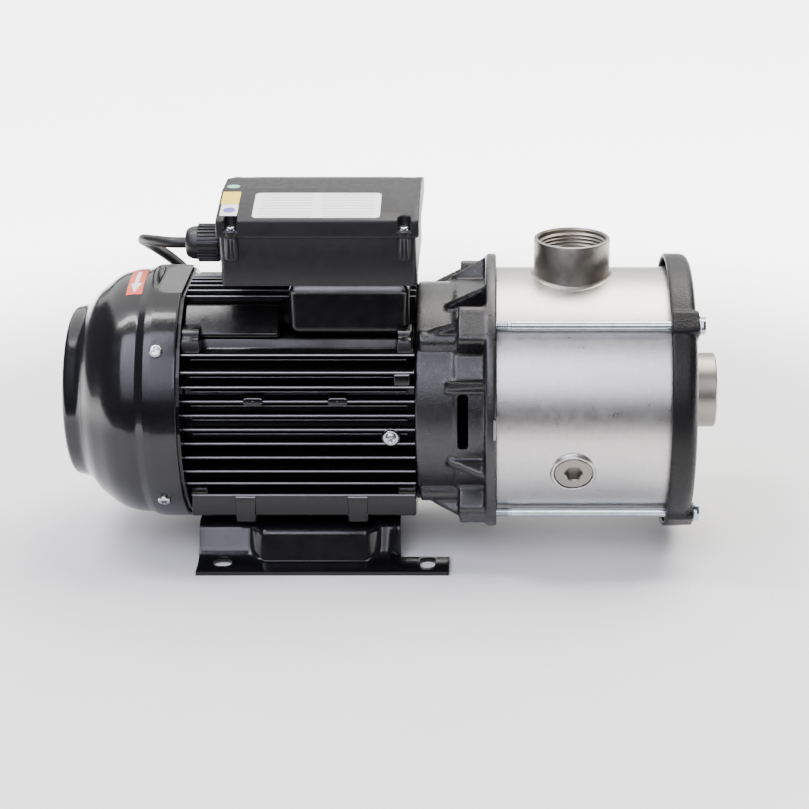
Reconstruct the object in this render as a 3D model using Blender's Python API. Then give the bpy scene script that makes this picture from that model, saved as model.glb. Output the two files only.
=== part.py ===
"""Horizontal multistage centrifugal pump: a fan-cooled motor on a pressed foot, a black bracket,
a stainless barrel with three stages inside, and a threaded inlet and outlet.
Metres, +Z up, +X along the shaft towards the inlet, the floor at Z = 0."""
import bpy
import bmesh
from math import acos, ceil, cos, pi, radians, sin, sqrt
from mathutils import Matrix, Vector

# Lengths along the shaft, one after the other from the fan cowl to the inlet's mouth
COWL_LENGTH = 0.0749
COWL_TO_FRAME = 0.0023
FRAME_LENGTH = 0.1430
BRACKET_LENGTH = 0.0505
BARREL_LENGTH = 0.1065
COVER_LENGTH = 0.0165
INLET_REACH = 0.0177
SHAFT_HEIGHT = 0.0980

# Clearances: between touching pieces, round bolts and round the turning parts
GAP = 0.0003
BOLT_GAP = 0.0004
RUNNING_GAP = 0.0008

# Fan cowl, its four screws and the end shield that they hold it to
COWL_WALL = 0.0018
RIM_RADIUS = 0.0812
RIM_BAND = 0.0195
COWL_RADIUS = 0.0784
SHOULDER_LENGTH = 0.0360
SHOULDER_HEIGHT = 0.0320
SHOULDER_FROM_RIM = 0.0322
SHOULDER_START = radians(21)
NOSE_RADIUS = 0.0530
NOSE_ROOT_RADIUS = 0.0552
NOSE_LENGTH = 0.0067
NOSE_CORNER = 0.0030
COWL_FLAT_HEIGHT = 0.0752
COWL_FLAT_LENGTH = 0.0235
COWL_FLAT_HALF_WIDTH = 0.0310
COWL_FLAT_CORNER = 0.0140
GRILLE_SLOTS = 14
GRILLE_SLOT_WIDTH = 0.0045
GRILLE_INNER_RADIUS = 0.0150
GRILLE_OUTER_RADIUS = 0.0455
COWL_SCREW_ANGLE = 37.0
COWL_SCREW_FROM_RIM = 0.0122
COWL_SCREW_RADIUS = 0.0020
COWL_SCREW_HEAD_RADIUS = 0.0040
COWL_SCREW_HEAD_HEIGHT = 0.0024
COWL_SCREW_LENGTH = 0.0070
SHIELD_RIM_LENGTH = 0.0200
SHIELD_RIM_WALL = 0.0062
SHIELD_WEB = 0.0050
SHIELD_WEB_SET_BACK = 0.0022
SPIGOT_LENGTH = 0.0043
SPIGOT_WALL = 0.0042
HUB_WALL = 0.0042

# Motor frame: round core, flat-topped fins, pedestal under the terminal box, lugs and foot pads
FRAME_BORE_RADIUS = 0.0520
FRAME_WALL = 0.0060
FIN_TIP_RADIUS = 0.0750
SIDE_FIN_REACH = 0.0670
FIN_THICKNESS = 0.0016
SIDE_FIN_PITCH = 0.0093
SIDE_FIN_TOP = 0.0445
SIDE_FINS = 10
TOP_FIN_PITCH = 0.0066
TOP_FINS_PER_SIDE = 4
PANEL_TOP = (0.0300, 0.0680)
PANEL_LOW = (0.0505, 0.0553)
PANEL_EDGE = 0.0024
PANEL_ROOT_HEIGHT = 0.0480
KEEL_TOP = (0.0559, -0.0500)
KEEL_SIDE = (0.0552, -0.0647)
KEEL_LOW = (0.0330, -0.0720)
PEDESTAL_FROM_FRAME = 0.0575
PEDESTAL_FROM_JOINT = 0.0025
PEDESTAL_TOP_HEIGHT = 0.0857
PEDESTAL_TOP_WIDTH = 0.0960
PEDESTAL_FOOT = (0.0505, 0.0570)
PEDESTAL_ROOT = (0.0400, 0.0500)
LUG_ANGLE = 46.0
LUG_CENTRE_RADIUS = 0.0690
LUG_RADIUS = 0.0068
FRAME_LUG_LENGTH = 0.0115
FOOT_PAD_X = (0.0351, 0.1059)
FOOT_PAD_LENGTH = 0.0125
FOOT_PAD_Y = 0.0335
FOOT_PAD_WIDTH = 0.0135
FOOT_PAD_HEIGHT = 0.0080
FOOT_PAD_TOE = (0.0562, -0.0684)
FOOT_PAD_DROP = 0.0020
GROUND_BOSS_RADIUS = 0.0058
GROUND_BOSS_FROM_JOINT = 0.0148
GROUND_SCREW_AFTER_FIN = 6
GROUND_SCREW_HEAD_RADIUS = 0.0043
GROUND_SCREW_HEAD_HEIGHT = 0.0028
GROUND_SCREW_RADIUS = 0.0020
GROUND_SCREW_LENGTH = 0.0090

# Pressed foot
FOOT_SHEET = 0.0025
FOOT_FROM_FRAME = 0.0035
FOOT_LENGTH = 0.1600
FOOT_TOP_LENGTH = 0.1286
FOOT_HALF_WIDTH = 0.0735
FOOT_TOP_HALF_WIDTH = 0.0420
FOOT_WALL_LEAN = 0.0040
FOOT_BEND = 0.0050
FOOT_HOLE_Y = 0.0600
FOOT_SLOT_FROM_END = 0.0156
FOOT_SLOT_SIZE = (0.0120, 0.0090)
FOOT_HOLE_FROM_END = 0.0138
FOOT_HOLE_SIZE = (0.0096, 0.0140)
FOOT_BOLT_RADIUS = 0.0030
FOOT_BOLT_HEAD_RADIUS = 0.0055
FOOT_BOLT_HEAD_HEIGHT = 0.0036
FOOT_BOLT_LENGTH = 0.0080

# Pump end: the barrel's radius, and what the pieces round it have beyond it
BARREL_RADIUS = 0.0793
FLANGE_RIM = 0.0087

# Pump bracket
BRACKET_RADIUS = 0.0700
BRACKET_WALL = 0.0070
BRACKET_WEB = 0.0075
FLANGE_THICKNESS = 0.0070
BRACKET_HUB_REACH = 0.0115
BRACKET_SHAFT_HOLE = 0.0120
GUSSET_ANGLES = (68.0, 22.0, -19.0, -66.0)
GUSSET_THICKNESS = 0.0040
GUSSET_LENGTH = 0.0240
GUSSET_FROM_RIM = 0.0018
TIE_BOSS_LENGTH = 0.0165
TIE_BOSS_WIDTH = 0.0260
TIE_BOSS_FROM_RIM = 0.0012
BRACKET_LUG_START = 0.0025
BRACKET_LUG_LENGTH = 0.0225
LUG_WEB_THICKNESS = 0.0040
WINDOW_ANGLE = 3.5
WINDOW_SPAN = 29.0
WINDOW_WIDTH = 0.0068
WINDOW_FROM_FLANGE = 0.0174
PLATE_TAB_ANGLE = 4.0
PLATE_TAB_WIDTH = 0.0126

# Barrel with its drain boss, the ports, the end cover and the tie bolts
BARREL_WALL = 0.0015
BARREL_IN_COVER = 0.0035
SEAL_PLATE_SHEET = 0.0015
INLET_PLATE_SHEET = 0.0020
PORT_RADIUS = 0.0240
PORT_BORE_RADIUS = 0.0210
OUTLET_FROM_FLANGE = 0.0476
OUTLET_REACH = 0.0231
OUTLET_HOLE_RADIUS = 0.0200
DRAIN_FROM_FLANGE = 0.0477
DRAIN_ANGLE = -20.0
DRAIN_BOSS_REACH = 0.0012
DRAIN_BOSS_RIM = 0.0016
DRAIN_BOSS_FLOOR = 0.0030
DRAIN_RECESS_GAP = 0.0006
DRAIN_HOLE_RADIUS = 0.0084
DRAIN_WASHER_FROM_PLUG = 0.0002
DRAIN_WASHER_THICKNESS = 0.0010
DRAIN_PLUG_RADIUS = 0.0118
DRAIN_PLUG_FLANGE = 0.0026
DRAIN_THREAD_RADIUS = 0.0080
DRAIN_THREAD_LENGTH = 0.0090
DRAIN_HEX_FLATS = 0.0100
DRAIN_HEX_DEPTH = 0.0060
COVER_WALL = 0.0030
COVER_FACE = 0.0040
COVER_CORNER = 0.0050
COVER_LAND_WIDTH = 0.0090
COVER_BOSS_PROUD = 0.0010
COVER_BOSS_WIDTH = 0.0160
TIE_ANGLE = 48.5
TIE_FROM_BARREL = 0.0039
TIE_RADIUS = 0.0030
TIE_HEAD_RADIUS = 0.0057
TIE_HEAD_HEIGHT = 0.0038
TIE_IN_BRACKET = 0.0200

# Shaft, rotor, bearings, fan, seal and stages
SHAFT_FAN_RADIUS = 0.0062
SHAFT_REAR_RADIUS = 0.0072
SHAFT_ROTOR_RADIUS = 0.0097
SHAFT_FRONT_RADIUS = 0.0085
SHAFT_PUMP_RADIUS = 0.0070
REAR_BEARING = (0.0175, 0.0110)
FRONT_BEARING = (0.0200, 0.0117)
BALL_COUNT = 6
RING_WALL = 0.0029
ROTOR_RADIUS = 0.0300
CORE_FROM_FRAME = 0.0285
CORE_LENGTH = 0.0800
WINDING_SLEEVE = 0.0042
WINDING_REACH = 0.0150
WINDING_WALL = 0.0130
FAN_RADIUS = 0.0620
FAN_BLADES = 7
FAN_BLADE_THICKNESS = 0.0020
FAN_HUB_RADIUS = 0.0130
FAN_DISC = 0.0025
FAN_LENGTH = 0.0230
FAN_FROM_NOSE = 0.0227
FAN_SHAFT_END = 0.0030
SEAT_OUTER_RADIUS = 0.0160
SEAT_BORE_RADIUS = 0.0095
SEAT_LENGTH = 0.0040
SEAL_HEAD_RADIUS = 0.0140
STAGES = 3
STAGE_PITCH = 0.0280
STAGE_FROM_BARREL = 0.0133
STAGE_CASE_WALL = 0.0020
STAGE_DISC = 0.0025
STAGE_WINDOWS = 6
STAGE_WINDOW_LENGTH = 0.0080
STAGE_WINDOW_WIDTH = 0.0220
STAGE_SHOULDER = 0.0120
IMPELLER_FROM_CASE = 0.0140
IMPELLER_SHROUD = 0.0020
IMPELLER_PASSAGE = 0.0120
IMPELLER_SET_BACK = 0.0040
IMPELLER_VANES = 5
IMPELLER_VANE_THICKNESS = 0.0020
IMPELLER_VANE_LEAN = 35.0
HUB_RADIUS = 0.0110
EYE_RADIUS = 0.0200
EYE_WALL = 0.0028
SHAFT_NUT_RADIUS = 0.0100
SHAFT_NUT_LENGTH = 0.0060
SHAFT_END_REACH = 0.0012

# Terminal box, its lid, screws, gland and capacitor
BOX_FROM_FRAME = 0.0257
BOX_LENGTH = 0.1190
BOX_WIDTH = 0.1000
BOX_HEIGHT = 0.0310
BOX_WALL = 0.0025
LID_OVERHANG = 0.0020
LID_SKIRT = 0.0107
LID_HEIGHT = 0.0197
LID_TOP_WIDTH = 0.0270
LID_SCREW_FROM_END = 0.0070
LID_SCREW_FROM_SIDE = 0.0015
LID_SCREW_LEDGE = 0.0040
LID_SCREW_RADIUS = 0.0018
LID_SCREW_HEAD_RADIUS = 0.0034
LID_SCREW_HEAD_HEIGHT = 0.0022
LID_SCREW_LENGTH = 0.0120
LID_NOTCH_RADIUS = 0.0046
BOX_COLUMN_RADIUS = 0.0046
BOX_COLUMN_HEIGHT = 0.0140
GLAND_ABOVE_BOX_FLOOR = 0.0130
GLAND_RADIUS = 0.0122
GLAND_DOME_RADIUS = 0.0085
GLAND_DOME_LENGTH = 0.0060
GLAND_NUT_LENGTH = 0.0211
GLAND_FLANGE_LENGTH = 0.0057
GLAND_THREAD_RADIUS = 0.0098
GLAND_THREAD_LENGTH = 0.0070
CAPACITOR_RADIUS = 0.0180
CAPACITOR_LENGTH = 0.0700

# Power cord, its coil of unseen length, the tie and the plug
CORD_RADIUS = 0.00355
CORD_IN_GLAND = 0.0180
CORD_FROM_GLAND = (
    (-0.0100, 0.0011, -0.0002),
    (-0.0206, 0.0070, -0.0010),
    (-0.0284, 0.0163, -0.0030),
    (-0.0321, 0.0280, -0.0065),
    (-0.0312, 0.0402, -0.0120),
    (-0.0262, 0.0509, -0.0197),
    (-0.0190, 0.0600, -0.0290),
)
CORD_DOWN_REAR = (
    (-0.1415, 0.0683, 0.0585),
    (-0.1345, 0.0762, 0.0440),
    (-0.1290, 0.0832, 0.0260),
    (-0.1255, 0.0893, 0.0040),
    (-0.1235, 0.0940, -0.0200),
    (-0.1220, 0.0975, -0.0420),
    (-0.1186, 0.1000, -0.0610),
    (-0.1112, 0.1014, -0.0770),
)
CORD_LANDING = ((0.0114, 0.0067), (0.0257, 0.0014))
COIL_CENTRE = (-0.0620, 0.1500)
COIL_INNER_RADIUS = 0.0290
COIL_TURNS_PER_LAYER = 2.5
COIL_POINTS_PER_TURN = 24
COIL_SPACING = 0.0076
TIE_BAND_THICKNESS = 0.0010
TIE_BAND_WIDTH = 0.0100
TIE_BAND_DEGREES = 60.0
FLOOR_GAP = 0.0001
PLUG_RELIEF_LENGTH = 0.0380
PLUG_RELIEF_RADII = (0.0044, 0.0058)
PLUG_BODY_LENGTH = 0.0380
PLUG_BODY_WIDTH = 0.0360
PIN_RADIUS = 0.0024
PIN_LENGTH = 0.0190
PIN_SPACING = 0.0190
PIN_IN_PLUG = 0.0080

# Facets round a large, a middling and a small circle
ROUND_LARGE = 28
ROUND_MIDDLE = 16
ROUND_SMALL = 8

# Stations along the shaft, with X = 0 at the middle of the whole length
TOTAL_LENGTH = (COWL_LENGTH + COWL_TO_FRAME + FRAME_LENGTH + BRACKET_LENGTH
                + BARREL_LENGTH + COVER_LENGTH + INLET_REACH)
X_NOSE = -TOTAL_LENGTH / 2
X_RIM = X_NOSE + COWL_LENGTH
X_FRAME = X_RIM + COWL_TO_FRAME
X_JOINT = X_FRAME + FRAME_LENGTH
X_FLANGE = X_JOINT + BRACKET_LENGTH
X_COVER = X_FLANGE + BARREL_LENGTH
X_FACE = X_COVER + COVER_LENGTH
X_MOUTH = X_FACE + INLET_REACH

# Radii round the pump end, all from the barrel's
FLANGE_RADIUS = BARREL_RADIUS + FLANGE_RIM
GUSSET_TOP_RADIUS = FLANGE_RADIUS - GUSSET_FROM_RIM
TIE_BOSS_RADIUS = FLANGE_RADIUS - TIE_BOSS_FROM_RIM
TIE_CENTRE_RADIUS = BARREL_RADIUS + TIE_FROM_BARREL
OUTLET_HEIGHT = BARREL_RADIUS + OUTLET_REACH
DRAIN_BOSS_TOP = BARREL_RADIUS + DRAIN_BOSS_REACH
STAGE_CASE_RADIUS = BARREL_RADIUS - STAGE_FROM_BARREL
IMPELLER_RADIUS = STAGE_CASE_RADIUS - IMPELLER_FROM_CASE

FLOOR = -SHAFT_HEIGHT
FRONT_AND_REAR = (1, -1)
BARREL_END = X_COVER + BARREL_IN_COVER
INLET_PLATE_LEFT = BARREL_END + GAP
INLET_PLATE_RIGHT = INLET_PLATE_LEFT + INLET_PLATE_SHEET
SEAL_PLATE_RIGHT = X_FLANGE - GAP
SEAL_PLATE_LEFT = SEAL_PLATE_RIGHT - SEAL_PLATE_SHEET

for old in list(bpy.data.objects):
    bpy.data.objects.remove(old)


def finish_material(name, colour, roughness, metallic=0.0):
    """A Principled material with one colour, roughness and metallic value."""
    material = bpy.data.materials.new(name)
    material.use_nodes = True
    shader = material.node_tree.nodes["Principled BSDF"]
    shader.inputs["Base Color"].default_value = (*colour, 1.0)
    shader.inputs["Roughness"].default_value = roughness
    shader.inputs["Metallic"].default_value = metallic
    return material


BLACK_GLOSS = finish_material("black_gloss", (0.010, 0.010, 0.011), 0.22)
BLACK_SATIN = finish_material("black_satin", (0.008, 0.008, 0.009), 0.40)
BLACK_TEXTURED = finish_material("black_textured", (0.020, 0.020, 0.021), 0.55)
DARK_PLASTIC = finish_material("dark_plastic", (0.024, 0.023, 0.026), 0.50)
STAINLESS = finish_material("stainless", (0.58, 0.57, 0.55), 0.34, 1.0)
ZINC = finish_material("zinc", (0.62, 0.66, 0.70), 0.28, 1.0)
STEEL = finish_material("steel", (0.45, 0.45, 0.46), 0.35, 1.0)
IRON = finish_material("iron", (0.10, 0.10, 0.11), 0.55, 1.0)
COPPER = finish_material("copper", (0.55, 0.22, 0.08), 0.40, 1.0)
BRASS = finish_material("brass", (0.62, 0.47, 0.20), 0.30, 1.0)
RUBBER = finish_material("rubber", (0.012, 0.012, 0.012), 0.65)
PALE_PLASTIC = finish_material("pale_plastic", (0.70, 0.70, 0.68), 0.45)
CARBON = finish_material("carbon", (0.030, 0.030, 0.032), 0.50)


def finished(name, bm, material):
    """The object of a built mesh, in shaft coordinates, with its origin on the shaft's axis."""
    bmesh.ops.recalc_face_normals(bm, faces=bm.faces)
    mesh = bpy.data.meshes.new(name)
    bm.to_mesh(mesh)
    bm.free()
    mesh.shade_smooth()
    mesh.set_sharp_from_angle(angle=radians(35))
    piece = bpy.data.objects.new(name, mesh)
    piece.location = (0.0, 0.0, SHAFT_HEIGHT)
    bpy.context.scene.collection.objects.link(piece)
    if material is not None:
        mesh.materials.append(material)
    return piece


def turned(name, profile, material=None, steps=ROUND_LARGE):
    """A solid of revolution about X from (x, radius) points, a closed loop unless it ends on the axis."""
    bm = bmesh.new()
    angles = [2 * pi * k / steps for k in range(steps)]
    rings = []
    for x, radius in profile:
        if radius == 0:
            rings.append([bm.verts.new((x, 0, 0))])
        else:
            rings.append([bm.verts.new((x, -radius * cos(a), radius * sin(a))) for a in angles])
    on_axis = any(len(ring) == 1 for ring in rings)
    after = rings[1:] if on_axis else rings[1:] + rings[:1]
    for low, high in zip(rings, after):
        for k in range(steps):
            n = (k + 1) % steps
            corners = (low[k % len(low)], low[n % len(low)], high[n % len(high)], high[k % len(high)])
            bm.faces.new(list(dict.fromkeys(corners)))
    return finished(name, bm, material)


def prism(name, outline, low, high, axis="X", material=None):
    """A solid of one outline: (y, z) points along X, (x, z) along Y, or (x, y) along Z."""
    place = {
        "X": lambda u, v, w: (w, u, v),
        "Y": lambda u, v, w: (u, w, v),
        "Z": lambda u, v, w: (u, v, w),
    }[axis]
    bm = bmesh.new()
    near, far = [[bm.verts.new(place(u, v, w)) for u, v in outline] for w in (low, high)]
    bm.faces.new(near)
    bm.faces.new(far)
    for k in range(len(outline)):
        n = (k + 1) % len(outline)
        bm.faces.new((near[k], near[n], far[n], far[k]))
    return finished(name, bm, material)


def circle(u, v, radius, steps=ROUND_SMALL):
    return [(u + radius * cos(2 * pi * k / steps), v + radius * sin(2 * pi * k / steps)) for k in range(steps)]


def rectangle(u0, u1, v0, v1):
    return [(u0, v0), (u1, v0), (u1, v1), (u0, v1)]


def oblong(u, v, length, width, steps=ROUND_SMALL):
    """A slot's outline, its length along the first axis, or along the second where that is longer."""
    radius = min(length, width) / 2
    du = length / 2 - radius
    dv = width / 2 - radius
    points = []
    for k in range(steps):
        angle = 2 * pi * (k + 0.5) / steps
        points.append((u + radius * cos(angle) + (du if cos(angle) > 0 else -du),
                       v + radius * sin(angle) + (dv if sin(angle) > 0 else -dv)))
    return points


def shifted(piece, x=0.0, y=0.0, z=0.0):
    piece.data.transform(Matrix.Translation((x, y, z)))
    return piece


def at_angle(piece, degrees):
    """Turn a piece built on the -Y side about the shaft, upwards for a positive angle."""
    piece.data.transform(Matrix.Rotation(-radians(degrees), 4, "X"))
    return piece


def corners_of(degrees):
    """The four places of a pattern that mirrors up and down, front and rear."""
    return (degrees, -degrees, 180 - degrees, 180 + degrees)


def radial_plate(name, outline, thickness):
    """A plate in a plane through the shaft, from (x, radius) points, on the -Y side."""
    return prism(name, [(x, -radius) for x, radius in outline], -thickness / 2, thickness / 2, axis="Z")


def shape(piece, operation, tools):
    """Join tools to a piece, or cut them out of it, with the tools kept as hidden guides."""
    for tool in tools:
        tool.hide_render = True
        tool.display_type = "WIRE"
        modifier = piece.modifiers.new(tool.name, "BOOLEAN")
        modifier.operation = operation
        modifier.solver = "EXACT"
        modifier.object = tool
    return piece


def fuse(piece, *tools):
    return shape(piece, "UNION", tools)


def cut(piece, *tools):
    return shape(piece, "DIFFERENCE", tools)


def bolt(name, radius, low, high, head_radius, head_height, material, sides=6):
    """A bolt along X, its head past the high end, with a head of six or more sides."""
    shank = turned(name, [(low, 0), (low, radius), (high + GAP, radius), (high + GAP, 0)], material, ROUND_SMALL)
    head = prism(name + "_head", circle(0, 0, head_radius, sides), high, high + head_height)
    return fuse(shank, head)


def across(radius, distance):
    """Half of a circle's chord at a distance from its centre."""
    return sqrt(radius * radius - distance * distance)


def rounded_path(points, radius, steps=3):
    """A path with each inner corner replaced by an arc."""
    path = [Vector(points[0])]
    for before, corner, after in zip(points, points[1:], points[2:]):
        corner = Vector(corner)
        back = (Vector(before) - corner).normalized()
        ahead = (Vector(after) - corner).normalized()
        half = acos(back.dot(ahead)) / 2
        centre = corner + (back + ahead).normalized() * radius / sin(half)
        first = corner + back * radius * cos(half) / sin(half) - centre
        last = corner + ahead * radius * cos(half) / sin(half) - centre
        turn = first.angle_signed(last)
        for k in range(steps + 1):
            angle = -turn * k / steps
            path.append(centre + Vector((first.x * cos(angle) - first.y * sin(angle),
                                         first.x * sin(angle) + first.y * cos(angle))))
    path.append(Vector(points[-1]))
    return path


# Fan cowl: a gloss black shell with a stepped nose, open to the air at the rear
shoulder_centre_x = X_RIM - SHOULDER_FROM_RIM
shoulder_centre_r = COWL_RADIUS - SHOULDER_HEIGHT
cowl_inside = RIM_RADIUS - COWL_WALL


def shoulder(wall, points):
    """The cowl's shoulder, an elliptical sweep from the nose up to the band, less a wall's thickness."""
    for k in range(points):
        angle = SHOULDER_START + (pi / 2 - SHOULDER_START) * k / (points - 1)
        yield (shoulder_centre_x - (SHOULDER_LENGTH - wall) * cos(angle),
               shoulder_centre_r + (SHOULDER_HEIGHT - wall) * sin(angle))


cowl_profile = [(X_NOSE, 0), (X_NOSE, NOSE_RADIUS - NOSE_CORNER)]
cowl_profile.append((X_NOSE + NOSE_CORNER, NOSE_RADIUS))
cowl_profile.append((X_NOSE + NOSE_LENGTH, NOSE_ROOT_RADIUS))
cowl_profile.extend(shoulder(0, 6))
cowl_profile.append((X_RIM - RIM_BAND, RIM_RADIUS))
cowl_profile.append((X_RIM, RIM_RADIUS))
cowl_profile.append((X_RIM, cowl_inside))
cowl_profile.append((X_RIM - RIM_BAND, cowl_inside))
cowl_profile.extend(reversed(list(shoulder(COWL_WALL, 4))))
cowl_profile.append((X_NOSE + NOSE_LENGTH + COWL_WALL, NOSE_ROOT_RADIUS - COWL_WALL))
cowl_profile.append((X_NOSE + COWL_WALL, NOSE_RADIUS - NOSE_CORNER - COWL_WALL / 2))
cowl_profile.append((X_NOSE + COWL_WALL, 0))
fan_cowl = turned("fan_cowl", cowl_profile, BLACK_GLOSS)
flat_left = X_RIM - COWL_FLAT_LENGTH
flat_floor = prism("cowl_flat_floor", rectangle(flat_left - COWL_WALL, X_RIM - GAP, -COWL_FLAT_HALF_WIDTH,
                                                COWL_FLAT_HALF_WIDTH),
                   COWL_FLAT_HEIGHT - COWL_WALL, COWL_FLAT_HEIGHT + COWL_WALL, axis="Z")
mid_wall = [(x, max(r - COWL_WALL / 2, 0.0)) for x, r in cowl_profile[:cowl_profile.index((X_RIM, cowl_inside))]]
shape(flat_floor, "INTERSECT", [turned("cowl_envelope", mid_wall + [(X_RIM, 0)])])
flat_outline = rounded_path([(X_RIM + GAP, -COWL_FLAT_HALF_WIDTH), (flat_left, -COWL_FLAT_HALF_WIDTH),
                             (flat_left, COWL_FLAT_HALF_WIDTH), (X_RIM + GAP, COWL_FLAT_HALF_WIDTH)],
                            COWL_FLAT_CORNER)
fuse(fan_cowl, flat_floor)
cut(fan_cowl, prism("cowl_flat", flat_outline, COWL_FLAT_HEIGHT, RIM_RADIUS + GAP, axis="Z"))
for k in range(GRILLE_SLOTS):
    slot = prism("grille_slot", rectangle(-GRILLE_OUTER_RADIUS, -GRILLE_INNER_RADIUS,
                                          -GRILLE_SLOT_WIDTH / 2, GRILLE_SLOT_WIDTH / 2),
                 X_NOSE - COWL_WALL, X_NOSE + 2 * COWL_WALL)
    cut(fan_cowl, at_angle(slot, 360 * (k + 0.5) / GRILLE_SLOTS))

# Rear end shield: it closes the frame, carries the rear bearing and takes the cowl's screws
shield_radius = cowl_inside - GAP
shield_face = X_FRAME - GAP
shield_end = shield_face - SHIELD_RIM_LENGTH
spigot_radius = FRAME_BORE_RADIUS - GAP
web_right = shield_face - SHIELD_WEB_SET_BACK
web_left = web_right - SHIELD_WEB
rear_bore = REAR_BEARING[0] + GAP
rear_bearing_right = web_left - GAP
rear_bearing_left = rear_bearing_right - REAR_BEARING[1]
rear_shaft_hole = SHAFT_ROTOR_RADIUS + RUNNING_GAP * 3
rear_end_shield = turned("rear_end_shield", [
    (shield_end, shield_radius),
    (shield_face, shield_radius),
    (shield_face, spigot_radius),
    (shield_face + SPIGOT_LENGTH, spigot_radius),
    (shield_face + SPIGOT_LENGTH, spigot_radius - SPIGOT_WALL),
    (web_right, spigot_radius - SPIGOT_WALL),
    (web_right, rear_shaft_hole),
    (web_left, rear_shaft_hole),
    (web_left, rear_bore),
    (rear_bearing_left - GAP, rear_bore),
    (rear_bearing_left - GAP, rear_bore + HUB_WALL),
    (web_left, rear_bore + HUB_WALL),
    (web_left, shield_radius - SHIELD_RIM_WALL),
    (shield_end, shield_radius - SHIELD_RIM_WALL),
], BLACK_SATIN)
shield_flat = COWL_FLAT_HEIGHT - COWL_WALL - GAP
shield_flat_half = across(shield_radius, shield_flat) - GAP
fuse(rear_end_shield, prism("shield_flat_pad", rectangle(-shield_flat_half, shield_flat_half,
                                                         shield_flat - SHIELD_RIM_WALL, shield_flat + GAP),
                            shield_end + GAP, shield_face - GAP))
cut(rear_end_shield, prism("shield_flat", rectangle(-shield_radius, shield_radius, shield_flat, 2 * shield_radius),
                           shield_end - GAP, shield_face + GAP))

# Cowl screws: pan heads on the rim band, threaded into the end shield's rim
cowl_screw_x = X_RIM - COWL_SCREW_FROM_RIM
screw_seat = RIM_RADIUS + GAP
for number, angle in enumerate(corners_of(COWL_SCREW_ANGLE), 1):
    screw = bolt(f"cowl_screw_{number}", COWL_SCREW_RADIUS, screw_seat - COWL_SCREW_LENGTH, screw_seat,
                 COWL_SCREW_HEAD_RADIUS, COWL_SCREW_HEAD_HEIGHT, ZINC, ROUND_SMALL)
    hole = prism("cowl_screw_hole", circle(0, 0, COWL_SCREW_RADIUS + BOLT_GAP),
                 shield_radius - 2 * SHIELD_RIM_WALL, RIM_RADIUS + COWL_WALL)
    for piece in (screw, screw.modifiers[0].object, hole):
        piece.data.transform(Matrix.Rotation(-pi / 2, 4, "Z"))
        at_angle(shifted(piece, x=cowl_screw_x), angle)
    cut(fan_cowl, hole)
    cut(rear_end_shield, hole)


# Motor frame: an extruded section with level side fins, upright top fins and flat panels between them
core_radius = FRAME_BORE_RADIUS + FRAME_WALL


def frame_half_outline():
    """The frame's section from the top centre down its +Y side to the bottom centre."""
    half = FIN_THICKNESS / 2
    points = [(0.0, core_radius)]
    for k in range(TOP_FINS_PER_SIDE):
        y = TOP_FIN_PITCH * (k + 0.5)
        tip = across(FIN_TIP_RADIUS, y)
        points += [(y - half, across(core_radius, y - half)), (y - half, tip),
                   (y + half, tip), (y + half, across(core_radius, y + half))]
    points += [(PANEL_TOP[0], across(core_radius, PANEL_TOP[0])), PANEL_TOP, PANEL_LOW,
               (PANEL_LOW[0], PANEL_LOW[1] - PANEL_EDGE),
               (across(core_radius, PANEL_ROOT_HEIGHT), PANEL_ROOT_HEIGHT)]
    for k in range(SIDE_FINS):
        z = SIDE_FIN_TOP - SIDE_FIN_PITCH * k
        tip = min(across(FIN_TIP_RADIUS, z), SIDE_FIN_REACH)
        points += [(across(core_radius, z + half), z + half), (tip, z + half),
                   (tip, z - half), (across(core_radius, z - half), z - half)]
    points += [(across(core_radius, KEEL_TOP[1]), KEEL_TOP[1]), KEEL_TOP, KEEL_SIDE, KEEL_LOW,
               (0.0, KEEL_LOW[1])]
    return points


def both_halves(half):
    """A section that mirrors left and right, from the half that starts and ends on the middle line."""
    return half + [(-y, z) for y, z in reversed(half[1:-1])]


motor_frame = prism("motor_frame", both_halves(frame_half_outline()), X_FRAME, X_JOINT, material=BLACK_SATIN)
pedestal = prism("pedestal", both_halves([(0.0, PEDESTAL_TOP_HEIGHT), (PEDESTAL_TOP_WIDTH / 2, PEDESTAL_TOP_HEIGHT),
                                          PEDESTAL_FOOT, PEDESTAL_ROOT, (0.0, PEDESTAL_ROOT[1])]),
                 X_FRAME + PEDESTAL_FROM_FRAME, X_JOINT - PEDESTAL_FROM_JOINT)
fuse(motor_frame, pedestal)


def lug_outline(root_radius):
    """A bolt lug's round-topped section on the -Y side, from inside the wall that carries it."""
    points = [(-root_radius, LUG_RADIUS)]
    for k in range(ROUND_SMALL // 2 + 1):
        angle = pi * k / (ROUND_SMALL // 2)
        points.append((-LUG_CENTRE_RADIUS - LUG_RADIUS * sin(angle), LUG_RADIUS * cos(angle)))
    return points + [(-root_radius, -LUG_RADIUS)]


frame_lug_ends = ((X_FRAME, X_FRAME + FRAME_LUG_LENGTH), (X_JOINT - FRAME_LUG_LENGTH, X_JOINT))
for low, high in frame_lug_ends:
    for angle in corners_of(LUG_ANGLE):
        lug = prism("frame_lug", lug_outline(core_radius - FRAME_WALL / 2), low, high)
        fuse(motor_frame, at_angle(lug, angle))
pad_low = KEEL_LOW[1] - FOOT_PAD_DROP
pad_places = [(X_FRAME + x, side * FOOT_PAD_Y) for x in FOOT_PAD_X for side in FRONT_AND_REAR]
pad_top = KEEL_LOW[1] + FOOT_PAD_HEIGHT
pad_section = [(FOOT_PAD_Y - FOOT_PAD_WIDTH / 2, pad_top), (FOOT_PAD_Y - FOOT_PAD_WIDTH / 2, pad_low),
               (FOOT_PAD_Y + FOOT_PAD_WIDTH / 2, pad_low), FOOT_PAD_TOE, (FOOT_PAD_TOE[0], pad_top)]
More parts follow.
